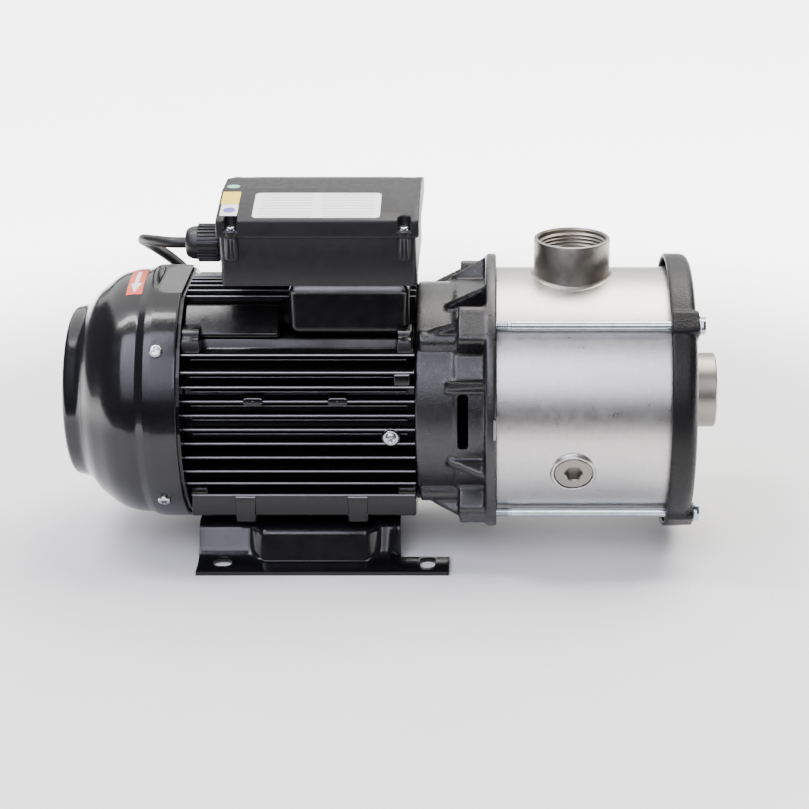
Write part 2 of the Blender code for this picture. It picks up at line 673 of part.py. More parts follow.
for x, y in pad_places:
    side = 1 if y > 0 else -1
    pad = prism("foot_pad", [(side * u, v) for u, v in pad_section],
                x - FOOT_PAD_LENGTH / 2, x + FOOT_PAD_LENGTH / 2)
    fuse(motor_frame, pad)
ground_x = X_JOINT - GROUND_BOSS_FROM_JOINT
ground_z = SIDE_FIN_TOP - SIDE_FIN_PITCH * (GROUND_SCREW_AFTER_FIN - 0.5)
ground_seat = SIDE_FIN_REACH + GAP
fuse(motor_frame, prism("ground_boss", circle(ground_x, ground_z, GROUND_BOSS_RADIUS), -ground_seat,
                        -core_radius + FRAME_WALL / 2, axis="Y"))
cut(motor_frame, turned("frame_bore", [(X_FRAME - GAP, 0), (X_FRAME - GAP, FRAME_BORE_RADIUS),
                                       (X_JOINT + GAP, FRAME_BORE_RADIUS), (X_JOINT + GAP, 0)]))

# Ground screw: its head on the boss between the side fins
ground_screw = bolt("ground_screw", GROUND_SCREW_RADIUS, ground_seat + GAP - GROUND_SCREW_LENGTH, ground_seat + GAP,
                    GROUND_SCREW_HEAD_RADIUS, GROUND_SCREW_HEAD_HEIGHT, ZINC, ROUND_SMALL)
for piece in (ground_screw, ground_screw.modifiers[0].object):
    piece.data.transform(Matrix.Rotation(-pi / 2, 4, "Z"))
    shifted(piece, x=ground_x, z=ground_z)
cut(motor_frame, prism("ground_screw_hole", circle(ground_x, ground_z, GROUND_SCREW_RADIUS + BOLT_GAP),
                       -ground_seat - GAP, -ground_seat + GROUND_SCREW_LENGTH, axis="Y"))

# Pressed foot: a hat section whose side flanges run on past its top towards the pump
foot_left = X_FRAME + FOOT_FROM_FRAME
foot_right = foot_left + FOOT_LENGTH
foot_top = pad_low - GAP


def sheet_outline(path, thickness):
    """The closed outline of a sheet whose middle follows a path."""
    left = []
    right = []
    for k, point in enumerate(path):
        along = (path[min(k + 1, len(path) - 1)] - path[max(k - 1, 0)]).normalized()
        side = Vector((-along.y, along.x)) * thickness / 2
        left.append(tuple(point + side))
        right.append(tuple(point - side))
    return left + right[::-1]


sheet_floor = FLOOR + FOOT_SHEET / 2
sheet_top = foot_top - FOOT_SHEET / 2
foot_wall_low = FOOT_TOP_HALF_WIDTH + FOOT_WALL_LEAN
foot_path = rounded_path([(-FOOT_HALF_WIDTH, sheet_floor), (-foot_wall_low, sheet_floor),
                          (-FOOT_TOP_HALF_WIDTH, sheet_top), (FOOT_TOP_HALF_WIDTH, sheet_top),
                          (foot_wall_low, sheet_floor), (FOOT_HALF_WIDTH, sheet_floor)], FOOT_BEND)
foot_plate = prism("foot_plate", sheet_outline(foot_path, FOOT_SHEET), foot_left, foot_right, material=BLACK_GLOSS)
hat_half = foot_wall_low + FOOT_BEND
cut(foot_plate, prism("foot_end_cut", rectangle(-hat_half, hat_half, FLOOR - FOOT_SHEET, foot_top + FOOT_SHEET),
                      foot_left + FOOT_TOP_LENGTH, foot_right + FOOT_SHEET))
for side in FRONT_AND_REAR:
    slot_x = foot_left + FOOT_SLOT_FROM_END
    hole_x = foot_right - FOOT_HOLE_FROM_END
    for x, size in ((slot_x, FOOT_SLOT_SIZE), (hole_x, FOOT_HOLE_SIZE)):
        cut(foot_plate, prism("foot_hole", oblong(x, side * FOOT_HOLE_Y, *size),
                              FLOOR - FOOT_SHEET, FLOOR + 2 * FOOT_SHEET, axis="Z"))

# Foot bolts: up through the foot into the frame's pads
bolt_seat = foot_top - FOOT_SHEET - GAP
for number, (x, y) in enumerate(pad_places, 1):
    screw = bolt(f"foot_bolt_{number}", FOOT_BOLT_RADIUS, -bolt_seat - FOOT_SHEET - FOOT_BOLT_LENGTH, -bolt_seat,
                 FOOT_BOLT_HEAD_RADIUS, FOOT_BOLT_HEAD_HEIGHT, ZINC)
    for piece in (screw, screw.modifiers[0].object):
        piece.data.transform(Matrix.Rotation(pi / 2, 4, "Y"))
        shifted(piece, x=x, y=y)
    hole = prism("foot_bolt_hole", circle(x, y, FOOT_BOLT_RADIUS + BOLT_GAP), bolt_seat - GAP,
                 bolt_seat + FOOT_SHEET + FOOT_BOLT_LENGTH + 2 * GAP, axis="Z")
    cut(foot_plate, hole)
    cut(motor_frame, hole)

# Pump bracket: it closes the motor, carries the front bearing and spreads into the pump's flange
flange_left = X_FLANGE - FLANGE_THICKNESS
bracket_left = X_JOINT + GAP
bracket_web_right = bracket_left + BRACKET_WEB
front_bore = FRONT_BEARING[0] + GAP
hub_left = X_JOINT - BRACKET_HUB_REACH
front_bearing_left = hub_left + GAP
front_bearing_right = front_bearing_left + FRONT_BEARING[1]
bracket_inside = BRACKET_RADIUS - BRACKET_WALL
plate_recess = BARREL_RADIUS + GAP
pump_bracket = turned("pump_bracket", [
    (bracket_left - SPIGOT_LENGTH, spigot_radius),
    (bracket_left, spigot_radius),
    (bracket_left, BRACKET_RADIUS),
    (flange_left, BRACKET_RADIUS),
    (flange_left, FLANGE_RADIUS),
    (X_FLANGE, FLANGE_RADIUS),
    (X_FLANGE, plate_recess),
    (SEAL_PLATE_LEFT - GAP, plate_recess),
    (SEAL_PLATE_LEFT - GAP, bracket_inside),
    (bracket_web_right, bracket_inside),
    (bracket_web_right, BRACKET_SHAFT_HOLE),
    (front_bearing_right + GAP, BRACKET_SHAFT_HOLE),
    (front_bearing_right + GAP, front_bore),
    (hub_left, front_bore),
    (hub_left, front_bore + HUB_WALL),
    (bracket_left - SPIGOT_LENGTH, front_bore + HUB_WALL),
], BLACK_SATIN)
gusset_root = BRACKET_RADIUS - BRACKET_WALL / 3
overlap_x = flange_left + FLANGE_THICKNESS / 3
for angle in GUSSET_ANGLES:
    for place in (angle, 180 - angle):
        gusset = radial_plate("gusset", [(flange_left - GUSSET_LENGTH, gusset_root), (overlap_x, gusset_root),
                                         (overlap_x, GUSSET_TOP_RADIUS), (flange_left, GUSSET_TOP_RADIUS)],
                              GUSSET_THICKNESS)
        fuse(pump_bracket, at_angle(gusset, place))
boss_left = flange_left - TIE_BOSS_LENGTH
lug_left = bracket_left + BRACKET_LUG_START
lug_right = lug_left + BRACKET_LUG_LENGTH
lug_top = LUG_CENTRE_RADIUS + LUG_RADIUS
for tie_place, lug_place in zip(corners_of(TIE_ANGLE), corners_of(LUG_ANGLE)):
    boss = prism("tie_boss", rectangle(-TIE_BOSS_RADIUS, -gusset_root, -TIE_BOSS_WIDTH / 2, TIE_BOSS_WIDTH / 2),
                 boss_left, overlap_x)
    lug = prism("bracket_lug", lug_outline(gusset_root - BRACKET_WALL / 3), lug_left, lug_right)
    web = radial_plate("lug_web", [(lug_left + LUG_RADIUS, gusset_root), (boss_left + GAP, gusset_root),
                                   (boss_left + GAP, TIE_BOSS_RADIUS), (lug_left + LUG_RADIUS, lug_top)],
                       LUG_WEB_THICKNESS)
    fuse(pump_bracket, at_angle(boss, tie_place), at_angle(lug, lug_place), at_angle(web, tie_place))
window_centre = X_FLANGE - WINDOW_FROM_FLANGE - WINDOW_WIDTH / 2
window_half = BRACKET_RADIUS * sin(radians(WINDOW_SPAN / 2))
for place in (WINDOW_ANGLE, 180 - WINDOW_ANGLE):
    window = prism("window", rectangle(-FLANGE_RADIUS, -bracket_inside + BRACKET_WALL, -window_half, window_half),
                   window_centre - WINDOW_WIDTH / 2, window_centre + WINDOW_WIDTH / 2)
    cut(pump_bracket, at_angle(window, place))
tie_hole_left = X_FLANGE - TIE_IN_BRACKET - GAP
for place in corners_of(TIE_ANGLE):
    hole = prism("tie_hole", circle(-TIE_CENTRE_RADIUS, 0, TIE_RADIUS + BOLT_GAP), tie_hole_left, X_FLANGE + GAP)
    cut(pump_bracket, at_angle(hole, place))
tab_notch = prism("tab_notch", rectangle(-FLANGE_RADIUS - GAP, -plate_recess + 4 * GAP, -PLATE_TAB_WIDTH / 2 - GAP,
                                         PLATE_TAB_WIDTH / 2 + GAP), SEAL_PLATE_LEFT - GAP, X_FLANGE + GAP)
cut(pump_bracket, at_angle(tab_notch, PLATE_TAB_ANGLE))

# Seal plate: the stainless wall behind the last stage, with a tab that stops it turning
plate_radius = BARREL_RADIUS - GAP / 3
seal_plate = turned("seal_plate", [
    (SEAL_PLATE_LEFT, plate_radius),
    (SEAL_PLATE_RIGHT, plate_radius),
    (SEAL_PLATE_RIGHT, SEAT_OUTER_RADIUS + GAP),
    (SEAL_PLATE_LEFT, SEAT_OUTER_RADIUS + GAP),
], STAINLESS)
tab = prism("plate_tab", rectangle(-FLANGE_RADIUS, -plate_radius + PLATE_TAB_WIDTH / 2, -PLATE_TAB_WIDTH / 2,
                                   PLATE_TAB_WIDTH / 2), SEAL_PLATE_LEFT, SEAL_PLATE_RIGHT)
fuse(seal_plate, at_angle(tab, PLATE_TAB_ANGLE))

# Barrel: a rolled stainless shell with the drain boss welded in, which sinks the plug's head
barrel = turned("barrel", [
    (X_FLANGE, BARREL_RADIUS),
    (BARREL_END, BARREL_RADIUS),
    (BARREL_END, BARREL_RADIUS - BARREL_WALL),
    (X_FLANGE, BARREL_RADIUS - BARREL_WALL),
], STAINLESS)
outlet_x = X_FLANGE + OUTLET_FROM_FLANGE
cut(barrel, prism("outlet_hole", circle(outlet_x, 0, OUTLET_HOLE_RADIUS, ROUND_MIDDLE), 0, OUTLET_HEIGHT, axis="Z"))
drain_x = X_FLANGE + DRAIN_FROM_FLANGE
drain_recess_radius = DRAIN_PLUG_RADIUS + DRAIN_RECESS_GAP
drain_seat = DRAIN_BOSS_TOP - DRAIN_PLUG_FLANGE - DRAIN_WASHER_THICKNESS - 2 * GAP
drain_boss = prism("drain_boss", circle(drain_x, 0, drain_recess_radius + DRAIN_BOSS_RIM, ROUND_MIDDLE),
                   -DRAIN_BOSS_TOP, -drain_seat + DRAIN_BOSS_FLOOR, axis="Y")
drain_recess = prism("drain_recess", circle(drain_x, 0, drain_recess_radius, ROUND_MIDDLE), -DRAIN_BOSS_TOP - GAP,
                     -drain_seat, axis="Y")
drain_hole = prism("drain_hole", circle(drain_x, 0, DRAIN_HOLE_RADIUS, ROUND_MIDDLE), -DRAIN_BOSS_TOP - GAP,
                   -STAGE_CASE_RADIUS, axis="Y")
fuse(barrel, at_angle(drain_boss, DRAIN_ANGLE))
cut(barrel, at_angle(drain_recess, DRAIN_ANGLE), at_angle(drain_hole, DRAIN_ANGLE))

# Outlet: a threaded socket whose foot is cut to the barrel's curve
outlet_port = turned("outlet_port", [
    (across(BARREL_RADIUS, PORT_RADIUS) - GAP, PORT_RADIUS),
    (OUTLET_HEIGHT, PORT_RADIUS),
    (OUTLET_HEIGHT, PORT_BORE_RADIUS),
    (across(BARREL_RADIUS, PORT_RADIUS) - GAP, PORT_BORE_RADIUS),
], STAINLESS, ROUND_MIDDLE)
outlet_port.data.transform(Matrix.Rotation(-pi / 2, 4, "Y"))
shifted(outlet_port, x=outlet_x)
saddle = turned("saddle", [(X_FLANGE, 0), (X_FLANGE, BARREL_RADIUS + GAP), (BARREL_END, BARREL_RADIUS + GAP),
                           (BARREL_END, 0)])
cut(outlet_port, saddle)

# Drain plug and its washer: they turn and slide on the drain's own axis
drain_out = Vector((0, -cos(radians(DRAIN_ANGLE)), sin(radians(DRAIN_ANGLE))))
washer_low = drain_seat + GAP
drain_washer_radius = DRAIN_PLUG_RADIUS - DRAIN_WASHER_FROM_PLUG
plug_low = washer_low + DRAIN_WASHER_THICKNESS + GAP
plug_high = plug_low + DRAIN_PLUG_FLANGE
drain_washer = turned("drain_washer", [
    (washer_low, drain_washer_radius),
    (washer_low + DRAIN_WASHER_THICKNESS, drain_washer_radius),
    (washer_low + DRAIN_WASHER_THICKNESS, DRAIN_HOLE_RADIUS),
    (washer_low, DRAIN_HOLE_RADIUS),
], RUBBER, ROUND_MIDDLE)
drain_plug = turned("drain_plug", [
    (plug_low - DRAIN_THREAD_LENGTH, 0),
    (plug_low - DRAIN_THREAD_LENGTH, DRAIN_THREAD_RADIUS),
    (plug_low, DRAIN_THREAD_RADIUS),
    (plug_low, DRAIN_PLUG_RADIUS),
    (plug_high, DRAIN_PLUG_RADIUS),
    (plug_high, 0),
], STAINLESS, ROUND_MIDDLE)
hex_socket = prism("hex_socket", circle(0, 0, DRAIN_HEX_FLATS / 2 / cos(pi / 6), 6), plug_high - DRAIN_HEX_DEPTH,
                   plug_high + GAP)
drain_turn = drain_out.to_track_quat("X", "Z").to_matrix().to_4x4()
for piece in (drain_washer, drain_plug, hex_socket):
    shifted(piece, x=-washer_low)
    piece.matrix_world = (Matrix.Translation(Vector((drain_x, 0, SHAFT_HEIGHT)) + drain_out * washer_low)
                          @ drain_turn)
bpy.context.view_layer.update()
cut(drain_plug, hex_socket)

# Inlet: a stainless plate over the barrel's end, with its threaded socket and a collar that holds the stages
stage_start = X_FLANGE + STAGE_SHOULDER
stage_end = stage_start + STAGES * STAGE_PITCH
collar_radius = STAGE_CASE_RADIUS
inlet_plate = turned("inlet_plate", [
    (INLET_PLATE_LEFT, plate_radius),
    (INLET_PLATE_RIGHT, plate_radius),
    (INLET_PLATE_RIGHT, PORT_RADIUS),
    (X_MOUTH, PORT_RADIUS),
    (X_MOUTH, PORT_BORE_RADIUS),
    (INLET_PLATE_LEFT, PORT_BORE_RADIUS),
    (INLET_PLATE_LEFT, collar_radius - STAGE_CASE_WALL),
    (stage_end, collar_radius - STAGE_CASE_WALL),
    (stage_end, collar_radius),
    (INLET_PLATE_LEFT, collar_radius),
], STAINLESS)

# End cover: a black cap over the inlet plate, held by the tie bolts
cover_inside = INLET_PLATE_RIGHT + GAP
cover_bore = plate_radius + 2 * GAP
cover_disc = X_FACE - COVER_FACE
end_cover = turned("end_cover", [
    (X_COVER, FLANGE_RADIUS),
    (X_FACE - COVER_CORNER, FLANGE_RADIUS),
    (X_FACE - COVER_CORNER * (1 - sin(pi / 4)), FLANGE_RADIUS - COVER_CORNER * (1 - cos(pi / 4))),
    (X_FACE, FLANGE_RADIUS - COVER_CORNER),
    (X_FACE, PORT_RADIUS + GAP),
    (cover_disc, PORT_RADIUS + GAP),
    (cover_disc, cover_bore - COVER_LAND_WIDTH),
    (cover_inside, cover_bore - COVER_LAND_WIDTH),
    (cover_inside, cover_bore),
    (cover_disc, cover_bore),
    (cover_disc, FLANGE_RADIUS - COVER_WALL),
    (X_COVER, FLANGE_RADIUS - COVER_WALL),
], BLACK_TEXTURED)
cover_boss_face = X_FACE + COVER_BOSS_PROUD
for place in corners_of(TIE_ANGLE):
    boss = prism("cover_boss", rectangle(-TIE_BOSS_RADIUS, -cover_bore + GAP / 2, -COVER_BOSS_WIDTH / 2,
                                         COVER_BOSS_WIDTH / 2), X_COVER, cover_boss_face)
    fuse(end_cover, at_angle(boss, place))
    hole = prism("cover_tie_hole", circle(-TIE_CENTRE_RADIUS, 0, TIE_RADIUS + BOLT_GAP), X_COVER - GAP,
                 cover_boss_face + GAP)
    cut(end_cover, at_angle(hole, place))

# Tie bolts: they clamp cover, inlet plate, barrel and seal plate to the bracket
for number, place in enumerate(corners_of(TIE_ANGLE), 1):
    screw = bolt(f"tie_bolt_{number}", TIE_RADIUS, X_FLANGE - TIE_IN_BRACKET, cover_boss_face + GAP,
                 TIE_HEAD_RADIUS, TIE_HEAD_HEIGHT, ZINC)
    for piece in (screw, screw.modifiers[0].object):
        at_angle(shifted(piece, y=-TIE_CENTRE_RADIUS), place)

# Shaft: one stepped bar from the fan to the last stage
seal_head_left = SEAL_PLATE_LEFT + SEAT_LENGTH
shaft_fan_end = X_NOSE + FAN_FROM_NOSE - FAN_SHAFT_END
shaft_right = stage_end + SHAFT_NUT_LENGTH + SHAFT_END_REACH
shaft = turned("shaft", [
    (shaft_fan_end, 0),
    (shaft_fan_end, SHAFT_FAN_RADIUS),
    (rear_bearing_left - GAP, SHAFT_FAN_RADIUS),
    (rear_bearing_left - GAP, SHAFT_REAR_RADIUS),
    (rear_bearing_right + GAP, SHAFT_REAR_RADIUS),
    (rear_bearing_right + GAP, SHAFT_ROTOR_RADIUS),
    (front_bearing_left - GAP, SHAFT_ROTOR_RADIUS),
    (front_bearing_left - GAP, SHAFT_FRONT_RADIUS),
    (bracket_web_right, SHAFT_FRONT_RADIUS),
    (bracket_web_right, SHAFT_PUMP_RADIUS),
    (shaft_right, SHAFT_PUMP_RADIUS),
    (shaft_right, 0),
], STEEL, ROUND_MIDDLE)


def ring(name, low, high, inner, outer, material, steps=ROUND_MIDDLE):
    """A plain ring about the shaft."""
    return turned(name, [(low, outer), (high, outer), (high, inner), (low, inner)], material, steps)


# Ball bearings: an outer ring, an inner ring, and the balls held together by their cage
def ball_bearing(name, left, size, shaft_radius):
    outer_radius, width = size
    inner_radius = shaft_radius + GAP
    ring(name + "_bearing_outer", left, left + width, outer_radius - RING_WALL, outer_radius, STEEL, ROUND_LARGE)
    ring(name + "_bearing_inner", left, left + width, inner_radius, inner_radius + RING_WALL, STEEL)
    pitch_radius = (outer_radius + inner_radius) / 2
    ball_radius = (outer_radius - inner_radius) / 2 - RING_WALL - GAP
    middle = left + width / 2
    cage = ring(name + "_ball_cage", middle - ball_radius / 2, middle + ball_radius / 2,
                pitch_radius - ball_radius / 2, pitch_radius + ball_radius / 2, STEEL)
    for k in range(BALL_COUNT):
        bm = bmesh.new()
        bmesh.ops.create_icosphere(bm, subdivisions=1, radius=ball_radius)
        ball = shifted(finished("ball", bm, None), x=middle, y=-pitch_radius)
        fuse(cage, at_angle(ball, 360 * k / BALL_COUNT))


ball_bearing("rear", rear_bearing_left, REAR_BEARING, SHAFT_REAR_RADIUS)
ball_bearing("front", front_bearing_left, FRONT_BEARING, SHAFT_FRONT_RADIUS)

# Rotor and stator: two laminated cores with a narrow air gap, and the winding with its end turns
core_left = X_FRAME + CORE_FROM_FRAME
core_right = core_left + CORE_LENGTH
ring("rotor_core", core_left, core_right, SHAFT_ROTOR_RADIUS + GAP, ROTOR_RADIUS, IRON)
sleeve_inner = ROTOR_RADIUS + RUNNING_GAP
sleeve_outer = sleeve_inner + WINDING_SLEEVE
ring("stator_core", core_left, core_right, sleeve_outer + GAP, spigot_radius, IRON, ROUND_LARGE)
winding_left = core_left - GAP
winding_right = core_right + GAP
turned("stator_winding", [
    (winding_left - WINDING_REACH, sleeve_inner),
    (winding_left - WINDING_REACH, sleeve_outer + WINDING_WALL),
    (winding_left, sleeve_outer + WINDING_WALL),
    (winding_left, sleeve_outer),
    (winding_right, sleeve_outer),
    (winding_right, sleeve_outer + WINDING_WALL),
    (winding_right + WINDING_REACH, sleeve_outer + WINDING_WALL),
    (winding_right + WINDING_REACH, sleeve_inner),
], COPPER, ROUND_MIDDLE)

# Cooling fan: straight blades on a disc, on the shaft's rear end inside the cowl
fan_left = X_NOSE + FAN_FROM_NOSE
fan_right = fan_left + FAN_LENGTH
fan_bore = SHAFT_FAN_RADIUS + GAP
cooling_fan = turned("cooling_fan", [
    (fan_left, fan_bore),
    (fan_left, FAN_HUB_RADIUS),
    (fan_right - FAN_DISC, FAN_HUB_RADIUS),
    (fan_right - FAN_DISC, FAN_RADIUS),
    (fan_right, FAN_RADIUS),
    (fan_right, fan_bore),
], DARK_PLASTIC, ROUND_MIDDLE)
for k in range(FAN_BLADES):
    blade = prism("fan_blade", rectangle(-FAN_RADIUS * cos(pi / ROUND_MIDDLE), -FAN_HUB_RADIUS * cos(pi / 4),
                                         -FAN_BLADE_THICKNESS / 2, FAN_BLADE_THICKNESS / 2),
                  fan_left + FAN_DISC, fan_right - FAN_DISC / 2)
    fuse(cooling_fan, at_angle(blade, 360 * k / FAN_BLADES))

# Shaft seal: a fixed seat in the seal plate and a head that turns with the shaft
ring("seal_seat", SEAL_PLATE_LEFT - GAP, seal_head_left - GAP, SEAT_BORE_RADIUS, SEAT_OUTER_RADIUS, PALE_PLASTIC)
ring("seal_head", seal_head_left, stage_start - 2 * GAP, SHAFT_PUMP_RADIUS + GAP, SEAL_HEAD_RADIUS, CARBON)

# Stages: a cup with the eye of the next stage in its disc, and a closed impeller inside each
hub_bore = SHAFT_PUMP_RADIUS + GAP
eye_inner = EYE_RADIUS - EYE_WALL
for stage in range(STAGES):
    left = stage_start + STAGE_PITCH * stage
    right = left + STAGE_PITCH - GAP
    cup_left = X_FLANGE if stage == 0 else left
    diffuser = turned(f"diffuser_{stage + 1}", [
        (cup_left, STAGE_CASE_RADIUS),
        (right, STAGE_CASE_RADIUS),
        (right, EYE_RADIUS + RUNNING_GAP),
        (right - STAGE_DISC, EYE_RADIUS + RUNNING_GAP),
        (right - STAGE_DISC, STAGE_CASE_RADIUS - STAGE_CASE_WALL),
        (cup_left, STAGE_CASE_RADIUS - STAGE_CASE_WALL),
    ], STAINLESS, ROUND_MIDDLE)
    if stage == 0:
        for k in range(STAGE_WINDOWS):
            way_out = prism("stage_window", rectangle(-STAGE_CASE_RADIUS - GAP, -STAGE_CASE_RADIUS * cos(pi / 6),
                                                      -STAGE_WINDOW_WIDTH / 2, STAGE_WINDOW_WIDTH / 2),
                            left - STAGE_WINDOW_LENGTH, left)
            cut(diffuser, at_angle(way_out, 360 * k / STAGE_WINDOWS))
    back = left + IMPELLER_SET_BACK
    passage = back + IMPELLER_SHROUD
    front = passage + IMPELLER_PASSAGE
    impeller = turned(f"impeller_{stage + 1}", [
        (left, hub_bore),
        (left, HUB_RADIUS),
        (back, HUB_RADIUS),
        (back, IMPELLER_RADIUS),
        (passage, IMPELLER_RADIUS),
        (passage, HUB_RADIUS),
        (right, HUB_RADIUS),
        (right, hub_bore),
    ], STAINLESS, ROUND_MIDDLE)
    shroud = turned("front_shroud", [
        (front, eye_inner),
        (front, IMPELLER_RADIUS),
        (front + IMPELLER_SHROUD, IMPELLER_RADIUS),
        (front + IMPELLER_SHROUD, EYE_RADIUS),
        (right, EYE_RADIUS),
        (right, eye_inner),
    ], None, ROUND_MIDDLE)
    for k in range(IMPELLER_VANES):
        vane = prism("vane", rectangle(-IMPELLER_RADIUS + eye_inner + IMPELLER_VANE_THICKNESS, 0,
                                       -IMPELLER_VANE_THICKNESS / 2, IMPELLER_VANE_THICKNESS / 2),
                     passage - IMPELLER_SHROUD / 2, front + IMPELLER_SHROUD / 2)
        vane.data.transform(Matrix.Rotation(radians(IMPELLER_VANE_LEAN), 4, "X"))
        shifted(vane, y=-eye_inner - IMPELLER_VANE_THICKNESS)
        fuse(impeller, at_angle(vane, 360 * k / IMPELLER_VANES))
    fuse(impeller, shroud)

# Shaft nut: it holds the impellers on the shaft's end
nut = prism("shaft_nut", circle(0, 0, SHAFT_NUT_RADIUS, 6), stage_end, stage_end + SHAFT_NUT_LENGTH, material=STEEL)
cut(nut, prism("nut_bore", circle(0, 0, hub_bore, ROUND_MIDDLE), stage_end - GAP, stage_end + SHAFT_NUT_LENGTH + GAP))

# Terminal box: an open base on the frame's pedestal, with columns for the lid's screws
box_left = X_FRAME + BOX_FROM_FRAME
box_right = box_left + BOX_LENGTH
box_low = PEDESTAL_TOP_HEIGHT + GAP
box_high = box_low + BOX_HEIGHT
half_box = BOX_WIDTH / 2
terminal_box_base = prism("terminal_box_base", rectangle(box_left, box_right, -half_box, half_box), box_low, box_high,
                          axis="Z", material=DARK_PLASTIC)
lid_screw_places = [(x, side * (half_box - LID_SCREW_FROM_SIDE)) for side in FRONT_AND_REAR
                    for x in (box_left + LID_SCREW_FROM_END, box_right - LID_SCREW_FROM_END)]
cut(terminal_box_base, prism("box_hollow", rectangle(box_left + BOX_WALL, box_right - BOX_WALL, -half_box + BOX_WALL,
                                                     half_box - BOX_WALL), box_low + BOX_WALL, box_high + GAP,
                             axis="Z"))
for x, y in lid_screw_places:
    fuse(terminal_box_base, prism("box_column", circle(x, y, BOX_COLUMN_RADIUS), box_high - BOX_COLUMN_HEIGHT,
                                  box_high, axis="Z"))

# Lid: a skirt, two sloping faces and a flat top, hollow below, with a notch for each screw
lid_low = box_high + GAP
lid_high = lid_low + LID_HEIGHT
half_lid = half_box + LID_OVERHANG


def lid_section(wall):
    """Half of the lid's section, less a wall's thickness, from the top centre to the bottom centre."""
    return [(0.0, lid_high - wall), (LID_TOP_WIDTH / 2, lid_high - wall),
            (half_lid - wall, lid_low + LID_SKIRT - wall), (half_lid - wall, lid_low), (0.0, lid_low)]


terminal_box_lid = prism("terminal_box_lid", both_halves(lid_section(0.0)), box_left - LID_OVERHANG,
                         box_right + LID_OVERHANG, material=DARK_PLASTIC)
hollow_end = LID_SCREW_FROM_END + LID_NOTCH_RADIUS + BOX_WALL
lid_hollow = [(y, z if z > lid_low else lid_low - GAP) for y, z in both_halves(lid_section(BOX_WALL))]
cut(terminal_box_lid, prism("lid_hollow", lid_hollow, box_left + hollow_end, box_right - hollow_end))
ledge = lid_low + LID_SCREW_LEDGE
for number, (x, y) in enumerate(lid_screw_places, 1):
    outward = half_lid if y > 0 else -half_lid
    cut(terminal_box_lid, prism("lid_notch", circle(x, y, LID_NOTCH_RADIUS), ledge, lid_high, axis="Z"),
        prism("lid_notch_mouth", rectangle(x - LID_NOTCH_RADIUS, x + LID_NOTCH_RADIUS, *sorted((y, 2 * outward))),
              ledge, lid_high, axis="Z"))
    hole = prism("lid_screw_hole", circle(x, y, LID_SCREW_RADIUS + BOLT_GAP), ledge - LID_SCREW_LENGTH - GAP,
                 ledge + GAP, axis="Z")
    cut(terminal_box_lid, hole)
    cut(terminal_box_base, hole)
    screw = bolt(f"lid_screw_{number}", LID_SCREW_RADIUS, ledge + GAP - LID_SCREW_LENGTH, ledge + GAP,
                 LID_SCREW_HEAD_RADIUS, LID_SCREW_HEAD_HEIGHT, ZINC, ROUND_SMALL)
    for piece in (screw, screw.modifiers[0].object):
        piece.data.transform(Matrix.Rotation(-pi / 2, 4, "Y"))
        shifted(piece, x=x, y=y)

# Run capacitor: it lies on the box's floor
capacitor_z = box_low + BOX_WALL + GAP + CAPACITOR_RADIUS
capacitor_left = (box_left + box_right - CAPACITOR_LENGTH) / 2
prism("run_capacitor", circle(0, capacitor_z, CAPACITOR_RADIUS, ROUND_MIDDLE), capacitor_left,
      capacitor_left + CAPACITOR_LENGTH, material=PALE_PLASTIC)

# Cable gland: a threaded body through the box's wall and a domed nut round the cord
gland_bore = CORD_RADIUS + 2 * GAP
flange_face = box_left - GAP
nut_right = flange_face - GLAND_FLANGE_LENGTH - GAP
gland_mouth = nut_right - GLAND_NUT_LENGTH
gland_z = box_low + GLAND_ABOVE_BOX_FLOOR
gland_body = turned("gland_body", [
    (flange_face - GLAND_FLANGE_LENGTH, gland_bore),
    (flange_face - GLAND_FLANGE_LENGTH, GLAND_RADIUS),
    (flange_face, GLAND_RADIUS),
    (flange_face, GLAND_THREAD_RADIUS),
    (flange_face + GLAND_THREAD_LENGTH, GLAND_THREAD_RADIUS),
    (flange_face + GLAND_THREAD_LENGTH, gland_bore),
], DARK_PLASTIC, ROUND_MIDDLE)
gland_nut = turned("gland_nut", [
    (gland_mouth, gland_bore),
    (gland_mouth, GLAND_DOME_RADIUS),
    (gland_mouth + GLAND_DOME_LENGTH, GLAND_RADIUS),
    (nut_right, GLAND_RADIUS),
    (nut_right, gland_bore),
], DARK_PLASTIC, ROUND_MIDDLE)
for piece in (gland_body, gland_nut):
    shifted(piece, z=gland_z)
cut(terminal_box_base, prism("gland_hole", circle(0, gland_z, GLAND_THREAD_RADIUS + GAP, ROUND_MIDDLE),
                             box_left - GAP, box_left + BOX_WALL + GAP))

# Power cord: out of the gland, round behind the cowl, down to the floor and into its coil
cord_floor = FLOOR + FLOOR_GAP + CORD_RADIUS
coil_low = FLOOR + FLOOR_GAP + TIE_BAND_THICKNESS + GAP + CORD_RADIUS
coil_outer_radius = COIL_INNER_RADIUS + COIL_SPACING * COIL_TURNS_PER_LAYER
coil_x, coil_y = COIL_CENTRE
coil_side = coil_y - coil_outer_radius
coil_run = 2 * CORD_RADIUS
cord_end_x = coil_x - coil_run - GAP
CORD_ROUTE = [(gland_mouth + CORD_IN_GLAND, 0.0, gland_z), (gland_mouth, 0.0, gland_z)]
CORD_ROUTE += [(gland_mouth + x, y, gland_z + z) for x, y, z in CORD_FROM_GLAND]
CORD_ROUTE += CORD_DOWN_REAR
CORD_ROUTE += [(CORD_DOWN_REAR[-1][0] + x, coil_side, cord_floor + z) for x, z in CORD_LANDING]
CORD_ROUTE.append((cord_end_x, coil_side, coil_low))


